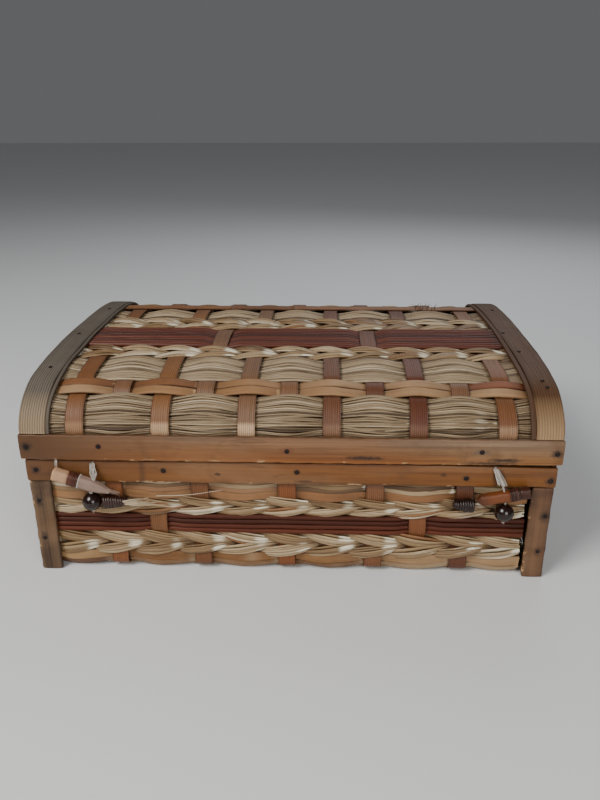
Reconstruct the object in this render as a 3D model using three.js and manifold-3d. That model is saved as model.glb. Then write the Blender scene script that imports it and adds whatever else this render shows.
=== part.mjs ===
// Woven seagrass storage case: a shallow box base and a low domed lid, both made of
// mats woven on flat stakes, framed with nailed bamboo rails, hinged at the back with
// two rings and closed in front with two pegs on cords.
// Millimetres, +Z up, front faces -Y, origin at the bottom centre.
import * as THREE from "three";
import { mergeVertices } from "three/addons/utils/BufferGeometryUtils.js";
import Module from "manifold-3d";

const wasm = await Module();
wasm.setup();

// ---------------------------------------------------------------- dimensions
const LID_L = 360;            // lid rails, overall length
const BASE_L = 356;           // base rails, overall length
const LID_FACE = 138;         // front and back faces of the lid rails, from the centre
const BASE_FACE = 136.5;      // front and back faces of the base rails
const LID_RAIL_T = 3.2;       // bamboo rail thickness, lid
const BASE_RAIL_T = 3.0;      // bamboo rail thickness, base
const MAT_T = 4;              // woven mat, nominal thickness
const INNER_T = 2.5;          // inner rails
const GAP = 0.3;              // clearance between neighbouring pieces
const BASE_TOP = 87.1;        // top of the base rails
const BASE_RAIL_LO = 71.0;    // bottom of the base rails
const LID_LO = 87.7;          // underside of the lid rails
const LID_RAIL_HI = 106.0;    // top of the lid rails
const BASE_MAT_OUT = 133.2;   // outer face of the base mat, front and back
const LID_MAT_OUT = 134.4;    // outer face of the lid mat where it is upright
const BASE_MAT_HALF = 174.7;  // half length of the base mat
const LID_MAT_HALF = 176.7;   // half length of the lid mat
const BASE_FOLD_R = 6;        // outer radius where the base mat folds under
const SLAT_T = 2.7;           // corner slats
const BAND_W = 18;            // arched edge bands of the lid
const BAND_T = 2.2;
const HINGE_Y = 138.3;        // hinge axis
const HINGE_Z = 87.4;
const HINGE_X = 95;           // hinge rings at +-HINGE_X
const RING_R = 4.2;           // hinge ring, centre line
const RING_WIRE = 1.2;
const RING_CLEAR = 0.45;
const CORD_R = 0.8;
const BEAD_R = 6.1;
const NAIL_R = 0.75;
const NAIL_HEAD_R = 1.7;

// outer surface of the arched band, from the top of the front rail over the crown:
// distance from the centre plane and height
const ARCH = [[136.9, 106.3], [136.1, 110.1], [134.0, 114.9], [129.6, 120.9], [123.6, 126.2],
  [116.0, 130.4], [106.5, 133.9], [90.3, 136.7], [71.3, 138.5], [47.5, 139.7], [23.8, 140.3], [0, 140.5]];

// ---------------------------------------------------------------- materials
const mat = (c, r, m = 0) => new THREE.MeshStandardMaterial({ color: c, roughness: r, metalness: m });
const M = {
  weave: mat(0xa88d62, 0.85), slat: mat(0x8d5a2c, 0.55), slat2: mat(0x9a6a3a, 0.6),
  band: mat(0x86684a, 0.6), dark: mat(0x34190f, 0.5), bead: mat(0x20100b, 0.25),
  cord: mat(0xcfc6b4, 0.9), pegL: mat(0xb98f70, 0.7), pegR: mat(0x8f4a20, 0.55),
  nail: mat(0x2a2422, 0.45, 0.8),
};

// ---------------------------------------------------------------- helpers
const group = new THREE.Group();
function clean(g) {
  let b = g.index ? g : g.clone();
  b = b.clone();
  for (const k of Object.keys(b.attributes)) if (k !== "position") b.deleteAttribute(k);
  return mergeVertices(b, 1e-4);
}
function solid(g) {
  const b = clean(g);
  const tri = new Uint32Array(b.index.array);
  return new wasm.Manifold(new wasm.Mesh({ numProp: 3, vertProperties: new Float32Array(b.attributes.position.array), triVerts: tri }));
}
function back(m) {
  const q = m.getMesh();
  const g = new THREE.BufferGeometry();
  g.setAttribute("position", new THREE.BufferAttribute(new Float32Array(q.vertProperties), 3));
  g.setIndex(new THREE.BufferAttribute(new Uint32Array(q.triVerts), 1));
  g.computeVertexNormals();
  return g;
}
function cut(g, cutters) {
  let s = solid(g);
  for (const c of cutters) s = s.subtract(solid(c));
  return back(s);
}
function join(list) {
  let s = solid(list[0]);
  for (const c of list.slice(1)) s = s.add(solid(c));
  return back(s);
}
function put(name, geometry, material) {
  const m = new THREE.Mesh(geometry, material);
  m.name = name;
  group.add(m);
  return m;
}
// a block given by its limits
function block(x0, x1, y0, y1, z0, z1) {
  const g = new THREE.BoxGeometry(x1 - x0, y1 - y0, z1 - z0);
  g.translate((x0 + x1) / 2, (y0 + y1) / 2, (z0 + z1) / 2);
  return g;
}
// a slat with eased long edges: a rounded rectangle in (a, z) run along an axis
function slatX(x0, x1, y0, y1, z0, z1, r = 0.8) {
  const s = roundRect(y0, y1, z0, z1, r);
  const g = new THREE.ExtrudeGeometry(s, { depth: x1 - x0, bevelEnabled: false, curveSegments: 3 });
  // shape x -> y, shape y -> z, depth -> x
  g.applyMatrix4(new THREE.Matrix4().set(0, 0, 1, x0, 1, 0, 0, 0, 0, 1, 0, 0, 0, 0, 0, 1));
  return g;
}
function slatY(x0, x1, y0, y1, z0, z1, r = 0.8) {
  const s = roundRect(-x1, -x0, z0, z1, r);
  const g = new THREE.ExtrudeGeometry(s, { depth: y1 - y0, bevelEnabled: false, curveSegments: 3 });
  // shape x -> -x, shape y -> z, depth -> y
  g.applyMatrix4(new THREE.Matrix4().set(-1, 0, 0, 0, 0, 0, 1, y0, 0, 1, 0, 0, 0, 0, 0, 1));
  return g;
}
function slatZ(x0, x1, y0, y1, z0, z1, r = 0.8) {
  const s = roundRect(x0, x1, y0, y1, r);
  const g = new THREE.ExtrudeGeometry(s, { depth: z1 - z0, bevelEnabled: false, curveSegments: 3 });
  g.translate(0, 0, z0);
  return g;
}
function roundRect(a0, a1, b0, b1, r) {
  const s = new THREE.Shape();
  s.moveTo(a0 + r, b0);
  s.lineTo(a1 - r, b0); s.quadraticCurveTo(a1, b0, a1, b0 + r);
  s.lineTo(a1, b1 - r); s.quadraticCurveTo(a1, b1, a1 - r, b1);
  s.lineTo(a0 + r, b1); s.quadraticCurveTo(a0, b1, a0, b1 - r);
  s.lineTo(a0, b0 + r); s.quadraticCurveTo(a0, b0, a0 + r, b0);
  return s;
}
// a flat outline in (y, z) run along x
function prismX(pts, x0, x1) {
  const s = new THREE.Shape(pts.map(([y, z]) => new THREE.Vector2(y, z)));
  const g = new THREE.ExtrudeGeometry(s, { depth: x1 - x0, bevelEnabled: false });
  g.applyMatrix4(new THREE.Matrix4().set(0, 0, 1, x0, 1, 0, 0, 0, 0, 1, 0, 0, 0, 0, 0, 1));
  return g;
}
function cylY(x, y0, y1, z, r, n = 8) {
  const g = new THREE.CylinderGeometry(r, r, y1 - y0, n);
  g.translate(x, (y0 + y1) / 2, z);
  return g;
}
function torusX(x, y, z, R, r, nu = 20, nv = 8) {
  const g = new THREE.TorusGeometry(R, r, nv, nu);
  g.rotateY(Math.PI / 2);
  g.translate(x, y, z);
  return g;
}
// the arch offset inwards by d, as points from front (-y) to back (+y)
const archCurve = new THREE.CatmullRomCurve3(
  [...ARCH.map(([a, z]) => new THREE.Vector3(-a, z, 0)),
    ...ARCH.slice(0, -1).reverse().map(([a, z]) => new THREE.Vector3(a, z, 0))], false, "centripetal");
const N_ARCH = 26;
const archPts = archCurve.getSpacedPoints(N_ARCH);
const archTan = archPts.map((p, i) => {
  const a = archPts[Math.max(i - 1, 0)], b = archPts[Math.min(i + 1, N_ARCH)];
  return new THREE.Vector2(b.x - a.x, b.y - a.y).normalize();
});
archTan[0].set(0, 1); archTan[N_ARCH].set(0, -1);
function arch(d) {
  return archPts.map((p, i) => [p.x + archTan[i].y * d, p.y - archTan[i].x * d]);
}
// strip between two offsets of the arch
function archStrip(d0, d1, x0, x1) {
  return prismX([...arch(d0), ...arch(d1).reverse()], x0, x1);
}

// ---------------------------------------------------------------- nails
// x, height: through the lid's front rail and through the base's front rail
const LID_NAILS = [[-175.2, 97.4], [-126.4, 98.4], [-1, 96.6], [126.8, 97.6], [175.6, 96.9]];
const BASE_NAILS = [[-171.4, 79.8], [-84.5, 80.3], [5.4, 80.4], [118.3, 77.6], [174.2, 76.2]];
const nailBore = ([x, z], y0, y1) => cylY(x, y0, y1, z, NAIL_R + GAP);
const lidBores = LID_NAILS.map((p) => nailBore(p, -146, -125));
const baseBores = BASE_NAILS.map((p) => nailBore(p, -146, -123));
function nail(face, [x, z], inner) {
  // flat round head on the rail, shank right through rail, mat and inner rail
  const p = [[0, -0.55], [NAIL_HEAD_R * 0.7, -0.5], [NAIL_HEAD_R, -0.1], [NAIL_HEAD_R, 0], [NAIL_R, 0],
    [NAIL_R, inner - 1.2], [0, inner]].map(([r, t]) => new THREE.Vector2(r, t));
  const g = new THREE.LatheGeometry(p, 8);
  // lathe axis is +y: head towards -y
  g.translate(x, -face - 0.05, z);
  return g;
}

// ---------------------------------------------------------------- hinge channels
const ringCut = [-HINGE_X, HINGE_X].map((x) => torusX(x, HINGE_Y, HINGE_Z, RING_R, RING_WIRE + RING_CLEAR, 20, 8));

// ================================================================= base
// one mat: up the front, under the floor and up the back
{
  const o = BASE_MAT_OUT, R = BASE_FOLD_R, t = MAT_T, r = R - t, n = 5, out = [], inn = [];
  out.push([-o, BASE_TOP]);
  for (let i = 0; i <= n; i++) { const a = (Math.PI / 2) * i / n; out.push([-(o - R) - R * Math.cos(a), R - R * Math.sin(a)]); }
  for (let i = 0; i <= n; i++) { const a = (Math.PI / 2) * i / n; out.push([(o - R) + R * Math.sin(a), R - R * Math.cos(a)]); }
  out.push([o, BASE_TOP]);
  inn.push([o - t, BASE_TOP]);
  for (let i = 0; i <= n; i++) { const a = (Math.PI / 2) * i / n; inn.push([(o - R) + r * Math.cos(a), R - r * Math.sin(a)]); }
  for (let i = 0; i <= n; i++) { const a = (Math.PI / 2) * i / n; inn.push([-(o - R) - r * Math.sin(a), R - r * Math.cos(a)]); }
  inn.push([-(o - t), BASE_TOP]);
  put("base_mat", cut(prismX([...out, ...inn], -BASE_MAT_HALF, BASE_MAT_HALF), [...ringCut, ...baseBores]), M.weave);
}
const BI = BASE_MAT_OUT - MAT_T - GAP;                 // inside of the base mat, front and back
const BX = BASE_MAT_HALF;
for (const [n, s] of [["left", -1], ["right", 1]]) {
  const a = s * BX, b = s * (BX - MAT_T);
  put(`base_end_mat_${n}`, cut(prismX([[-BI, BASE_TOP], [-BI, MAT_T + 2.6], [-BI + 2.3, MAT_T + GAP], [BI - 2.3, MAT_T + GAP], [BI, MAT_T + 2.6], [BI, BASE_TOP]],
    Math.min(a, b), Math.max(a, b)), baseBores), M.weave);
}
// outer rails: long ones front and back, short ones between them
put("base_rail_front", cut(slatX(-BASE_L / 2, BASE_L / 2, -BASE_FACE, -BASE_FACE + BASE_RAIL_T, BASE_RAIL_LO, BASE_TOP), baseBores), M.slat);
put("base_rail_back", cut(slatX(-BASE_L / 2, BASE_L / 2, BASE_FACE - BASE_RAIL_T, BASE_FACE, BASE_RAIL_LO, BASE_TOP), ringCut), M.slat);
for (const [n, s] of [["left", -1], ["right", 1]]) {
  const a = s * BASE_L / 2, b = s * (BASE_L / 2 - BASE_RAIL_T), e = BASE_FACE - BASE_RAIL_T - GAP;
  put(`base_rail_${n}`, cut(slatY(Math.min(a, b), Math.max(a, b), -e, e, BASE_RAIL_LO, BASE_TOP), baseBores), M.slat);
}
// inner rails
const bix = BX - MAT_T - GAP;                          // inside of the base end mats
put("base_inner_rail_front", cut(slatX(-(bix - INNER_T - GAP), bix - INNER_T - GAP, -BI, -BI + INNER_T, BASE_RAIL_LO, BASE_TOP, 0.7), baseBores), M.slat2);
put("base_inner_rail_back", cut(slatX(-(bix - INNER_T - GAP), bix - INNER_T - GAP, BI - INNER_T, BI, BASE_RAIL_LO, BASE_TOP, 0.7), ringCut), M.slat2);
for (const [n, s] of [["left", -1], ["right", 1]]) {
  const a = s * bix, b = s * (bix - INNER_T);
  put(`base_inner_rail_${n}`, slatY(Math.min(a, b), Math.max(a, b), -BI, BI, BASE_RAIL_LO, BASE_TOP, 0.7), M.slat2);
}
// corner slats: one on the long side, one on the end, at each corner
for (const [n, s] of [["left", -1], ["right", 1]]) {
  for (const [m, q] of [["front", -1], ["back", 1]]) {
    const x0 = s * 177.3, x1 = s * 162.9, y0 = q * (BASE_MAT_OUT + GAP + SLAT_T), y1 = q * (BASE_MAT_OUT + GAP);
    put(`corner_slat_${m}_${n}`, slatZ(Math.min(x0, x1), Math.max(x0, x1), Math.min(y0, y1), Math.max(y0, y1), 0, BASE_RAIL_LO - GAP), M.slat2);
    const u0 = s * (BX + GAP), u1 = s * (BX + GAP + 2.3), v0 = q * (BASE_MAT_OUT), v1 = q * (BASE_MAT_OUT - 14);
    put(`end_slat_${m}_${n}`, slatZ(Math.min(u0, u1), Math.max(u0, u1), Math.min(v0, v1), Math.max(v0, v1), 0, BASE_RAIL_LO - GAP), M.slat2);
  }
}
// hinge rings, turning freely in holes through both back rails and both mats
for (const [n, x] of [["left", -HINGE_X], ["right", HINGE_X]]) {
  put(`hinge_ring_${n}`, torusX(x, HINGE_Y, HINGE_Z, RING_R, RING_WIRE, 20, 8), M.dark);
}
// peg sockets on the front: wound cones lying along the wall, open at their outer ends
const SOCKETS = { left: { mouth: -126.4, tip: -109.4, y: -138.6, z: 57.0 }, right: { mouth: 124.4, tip: 110.6, y: -138.6, z: 58.2 } };
for (const n of ["left", "right"]) {
  const q = SOCKETS[n], len = Math.abs(q.tip - q.mouth);
  const p = [[0, 0], [1.7, 0], [2.4, 1.6], [3.9, len * 0.45], [4.9, len * 0.85], [5.1, len - 0.5], [4.8, len],
    [3.6, len], [3.3, len * 0.5], [2.6, len * 0.32], [0, len * 0.3]].map(([r, t]) => new THREE.Vector2(r, t));
  const g = new THREE.LatheGeometry(p, 14);
  g.rotateZ(n === "left" ? Math.PI / 2 : -Math.PI / 2);      // +y of the lathe to the mouth
  g.translate(q.tip, q.y, q.z);
  put(`peg_socket_${n}`, g, M.dark);
}

// ================================================================= lid
const LI = LID_MAT_OUT - MAT_T - GAP;                  // inside of the upright lid mat
const dMat0 = ARCH[0][0] - LID_MAT_OUT, dMat1 = dMat0 + MAT_T, dIn0 = dMat1 + GAP;
function withFeet(d, z) {
  // the arch at offset d, carried straight down to z
  const a = arch(d);
  return [[a[0][0], z], ...a, [a[N_ARCH][0], z]];
}
put("lid_mat", cut(prismX([...withFeet(dMat0, LID_LO), ...withFeet(dMat1, LID_LO).reverse()], -LID_MAT_HALF, LID_MAT_HALF), [...ringCut, ...lidBores]), M.weave);
for (const [n, s] of [["left", -1], ["right", 1]]) {
  const a = s * LID_MAT_HALF, b = s * (LID_MAT_HALF - MAT_T);
  put(`lid_end_mat_${n}`, cut(prismX(withFeet(dIn0, LID_LO), Math.min(a, b), Math.max(a, b)), lidBores), M.weave);
}
put("lid_rail_front", cut(slatX(-LID_L / 2, LID_L / 2, -LID_FACE, -LID_FACE + LID_RAIL_T, LID_LO, LID_RAIL_HI, 0.9), lidBores), M.slat);
put("lid_rail_back", cut(slatX(-LID_L / 2, LID_L / 2, LID_FACE - LID_RAIL_T, LID_FACE, LID_LO, LID_RAIL_HI, 0.9), ringCut), M.slat);
for (const [n, s] of [["left", -1], ["right", 1]]) {
  const a = s * LID_L / 2, b = s * (LID_MAT_HALF + GAP), e = LID_FACE - LID_RAIL_T - GAP;
  put(`lid_rail_${n}`, cut(slatY(Math.min(a, b), Math.max(a, b), -e, e, LID_LO, LID_RAIL_HI, 0.9), lidBores), M.slat);
}
const lix = LID_MAT_HALF - MAT_T - GAP;                // inside of the lid end mats
put("lid_inner_rail_front", cut(slatX(-(lix - INNER_T - GAP), lix - INNER_T - GAP, -LI, -LI + INNER_T, LID_LO, LID_RAIL_HI, 0.7), lidBores), M.slat2);
put("lid_inner_rail_back", cut(slatX(-(lix - INNER_T - GAP), lix - INNER_T - GAP, LI - INNER_T, LI, LID_LO, LID_RAIL_HI, 0.7), ringCut), M.slat2);
for (const [n, s] of [["left", -1], ["right", 1]]) {
  const a = s * lix, b = s * (lix - INNER_T);
  put(`lid_inner_rail_${n}`, cut(slatY(Math.min(a, b), Math.max(a, b), -LI, LI, LID_LO, LID_RAIL_HI, 0.7), lidBores), M.slat2);
}
// arched bands along both ends, outside and inside the mat
for (const [n, s] of [["left", -1], ["right", 1]]) {
  const a = s * (LID_L / 2 - 0.7), b = s * (LID_L / 2 - 0.7 - BAND_W);
  put(`lid_band_${n}`, archStrip(0, BAND_T, Math.min(a, b), Math.max(a, b)), M.band);
  const c = s * (LID_MAT_HALF - MAT_T - GAP), d = s * (LID_MAT_HALF - MAT_T - GAP - 10);
  put(`lid_inner_band_${n}`, archStrip(dIn0, dIn0 + 2, Math.min(c, d), Math.max(c, d)), M.slat2);
}

// nails in the front rails
LID_NAILS.forEach((p, i) => put(`lid_nail_${i + 1}`, nail(LID_FACE, p, 10.2), M.nail));
BASE_NAILS.forEach((p, i) => put(`base_nail_${i + 1}`, nail(BASE_FACE, p, 9.8), M.nail));

// ================================================================= closures
// each hangs from the underside of the lid's front rail: a cord goes through a split
// bamboo peg and a round wooden bead and ends in a knot
const CLOSE = {
  left: { top: [-131.5, -137.7, 86.6], inAt: [-130.9, -141.3, 75.8], outAt: [-133.75, -141.3, 65.6], bead: [-133.75, -141.3, 58.6],
    pegA: [-158.2, 79.5], pegB: [-120.7, 67.1], rA: 4.2, rB: 4.2, taper: 11, bind: [13.2, 19.2] },
  right: { top: [136.4, -137.7, 86.6], inAt: [142.6, -141.3, 72.6], outAt: [144.6, -141.3, 62.4], bead: [144.6, -141.3, 54.6],
    pegA: [160.0, 70.1], pegB: [125.9, 63.4], rA: 3.8, rB: 4.0, taper: 3, bind: [6.6, 13.2] },
};
for (const n of ["left", "right"]) {
  const q = CLOSE[n];
  const A = new THREE.Vector3(q.pegA[0], q.inAt[1], q.pegA[1]), B = new THREE.Vector3(q.pegB[0], q.inAt[1], q.pegB[1]);
  const dir = B.clone().sub(A), len = dir.length(); dir.normalize();
  const turn = new THREE.Quaternion().setFromUnitVectors(new THREE.Vector3(0, 1, 0), dir);
  const place = (g) => { g.applyQuaternion(turn); g.translate(A.x, A.y, A.z); return g; };
  // peg: blunt outer end, slim tip towards the middle
  const pegPts = [[0, 0], [q.rA - 0.5, 0], [q.rA, 0.5], [q.rA, q.bind[0] - 0.8], [q.rA - 0.6, q.bind[0]], [q.rA - 0.6, q.bind[1]],
    [q.rB, q.bind[1] + 0.8], [q.rB, len - q.taper], [q.rB * 0.45, len - 0.4], [0, len]].map(([r, t]) => new THREE.Vector2(r, t));
  // the hole for the cord goes square through the peg
  const hole = new THREE.CylinderGeometry(1.75, 1.75, 16, 10);
  const P = new THREE.Vector3(...q.inAt), Q = new THREE.Vector3(...q.outAt);
  hole.applyQuaternion(new THREE.Quaternion().setFromUnitVectors(new THREE.Vector3(0, 1, 0), Q.clone().sub(P).normalize()));
  const C = P.clone().add(Q).multiplyScalar(0.5);
  hole.translate(C.x, C.y, C.z);
  put(`peg_${n}`, cut(place(new THREE.LatheGeometry(pegPts, 14)), [hole]), n === "left" ? M.pegL : M.pegR);
  // cane binding: a sleeve round the waist of the peg
  const r0 = q.rA - 0.6 + 0.15, r1 = q.rA + 0.35, b0 = q.bind[0] + 0.3, b1 = q.bind[1] - 0.3;
  const sleeve = [[r0, b0], [r1, b0 + 0.2], [r1, b1 - 0.2], [r0, b1], [r0, b0]].map(([r, t]) => new THREE.Vector2(r, t));
  put(`peg_binding_${n}`, place(new THREE.LatheGeometry(sleeve, 14)), M.dark);
  // bead with a hole along the cord
  const bead = [];
  const hr = 1.3, a0 = Math.asin(hr / BEAD_R);
  for (let i = 0; i <= 8; i++) { const a = -Math.PI / 2 + a0 + (Math.PI - 2 * a0) * i / 8; bead.push(new THREE.Vector2(BEAD_R * Math.cos(a), BEAD_R * Math.sin(a))); }
  bead.push(bead[0].clone());
  const bg = new THREE.LatheGeometry(bead, 16);
  bg.rotateX(Math.PI / 2);
  bg.translate(...q.bead);
  put(`bead_${n}`, bg, M.bead);
  // cord: round top at the pivot, straight through the peg and the bead, knot below
  const z0 = q.bead[2];
  const pts = [new THREE.Vector3(...q.top), P, Q, new THREE.Vector3(q.bead[0], q.bead[1], z0 + BEAD_R - 0.4), new THREE.Vector3(q.bead[0], q.bead[1], z0 - BEAD_R - 1.4)];
  const circle = new THREE.Shape(); circle.absarc(0, 0, CORD_R, 0, Math.PI * 2, false);
  const path = new THREE.CurvePath();
  const parts = [];
  for (let i = 0; i < pts.length - 1; i++) {
    const d = pts[i + 1].clone().sub(pts[i]), L = d.length();
    const c = new THREE.CylinderGeometry(CORD_R, CORD_R, L, 8);
    c.applyQuaternion(new THREE.Quaternion().setFromUnitVectors(new THREE.Vector3(0, 1, 0), d.normalize()));
    const m = pts[i].clone().add(pts[i + 1]).multiplyScalar(0.5);
    c.translate(m.x, m.y, m.z);
    parts.push(c);
    const b = new THREE.SphereGeometry(CORD_R, 8, 4); b.translate(pts[i].x, pts[i].y, pts[i].z);
    parts.push(b);
  }
  const knot = new THREE.SphereGeometry(2.0, 8, 6); knot.translate(q.bead[0], q.bead[1], z0 - BEAD_R - 2.2);
  parts.push(knot);
  put(`closure_cord_${n}`, join(parts), M.cord);
}

export default group;
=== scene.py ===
import bpy
import math
import numpy as np
from mathutils import Matrix, Vector


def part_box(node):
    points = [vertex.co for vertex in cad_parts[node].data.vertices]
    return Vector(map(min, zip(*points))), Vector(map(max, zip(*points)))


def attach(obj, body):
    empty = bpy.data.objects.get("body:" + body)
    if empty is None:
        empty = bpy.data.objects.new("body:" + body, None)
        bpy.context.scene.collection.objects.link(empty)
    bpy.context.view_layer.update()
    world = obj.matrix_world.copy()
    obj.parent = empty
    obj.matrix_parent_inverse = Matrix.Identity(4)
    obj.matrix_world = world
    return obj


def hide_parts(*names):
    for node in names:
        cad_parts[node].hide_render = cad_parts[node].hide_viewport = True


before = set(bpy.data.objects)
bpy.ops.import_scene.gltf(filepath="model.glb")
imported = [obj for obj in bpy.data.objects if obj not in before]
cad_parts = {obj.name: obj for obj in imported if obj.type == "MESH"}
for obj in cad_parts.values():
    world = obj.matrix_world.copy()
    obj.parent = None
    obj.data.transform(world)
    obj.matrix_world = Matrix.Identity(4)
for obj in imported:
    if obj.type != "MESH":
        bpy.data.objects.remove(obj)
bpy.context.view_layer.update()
RNG = np.random.RandomState(4207)
MM = 0.001

# ------------------------------------------------------------------ camera
def make_camera():
    yaw, pitch, roll = math.radians(-1.97), math.radians(21.98), math.radians(-0.14)
    cy, sy, cp, sp = math.cos(yaw), math.sin(yaw), math.cos(pitch), math.sin(pitch)
    F = Vector((sy * cp, cy * cp, -sp)); R = Vector((cy, -sy, 0.0)); U = R.cross(F)
    cr, sr = math.cos(roll), math.sin(roll)
    R2 = R * cr + U * sr; U2 = -R * sr + U * cr
    cam = bpy.data.cameras.new("camera")
    cam.sensor_fit = "AUTO"; cam.sensor_width = 36.0
    cam.lens = 734.9 / 800.0 * 36.0
    cam.clip_start = 0.01; cam.clip_end = 50
    o = bpy.data.objects.new("camera", cam)
    o.matrix_world = Matrix(((R2.x, U2.x, -F.x, 0.0228), (R2.y, U2.y, -F.y, -0.5743), (R2.z, U2.z, -F.z, 0.3093), (0, 0, 0, 1)))
    bpy.context.scene.collection.objects.link(o)
    bpy.context.scene.camera = o
make_camera()

# ------------------------------------------------------------------ small tools
def lin(r, g, b):
    out = []
    for c in (r, g, b):
        c = c / 255.0
        out.append(c / 12.92 if c <= 0.04045 else ((c + 0.055) / 1.055) ** 2.4)
    return (out[0], out[1], out[2], 1.0)

def sstep(x):
    x = np.clip(x, 0.0, 1.0)
    return x * x * (3 - 2 * x)

def unit(a):
    return a / np.maximum(np.linalg.norm(a, axis=-1, keepdims=True), 1e-12)

def wobble(x, amp, wave, rng=RNG, parts=3):
    out = np.zeros_like(x)
    for k in range(parts):
        w = wave * (0.55 + rng.rand() * 1.1) / (1 + 0.8 * k)
        out += np.sin(x / w * 2 * math.pi + rng.rand() * 6.283) * (0.6 + 0.8 * rng.rand()) / (1 + 0.9 * k)
    return amp * out / 1.5

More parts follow.
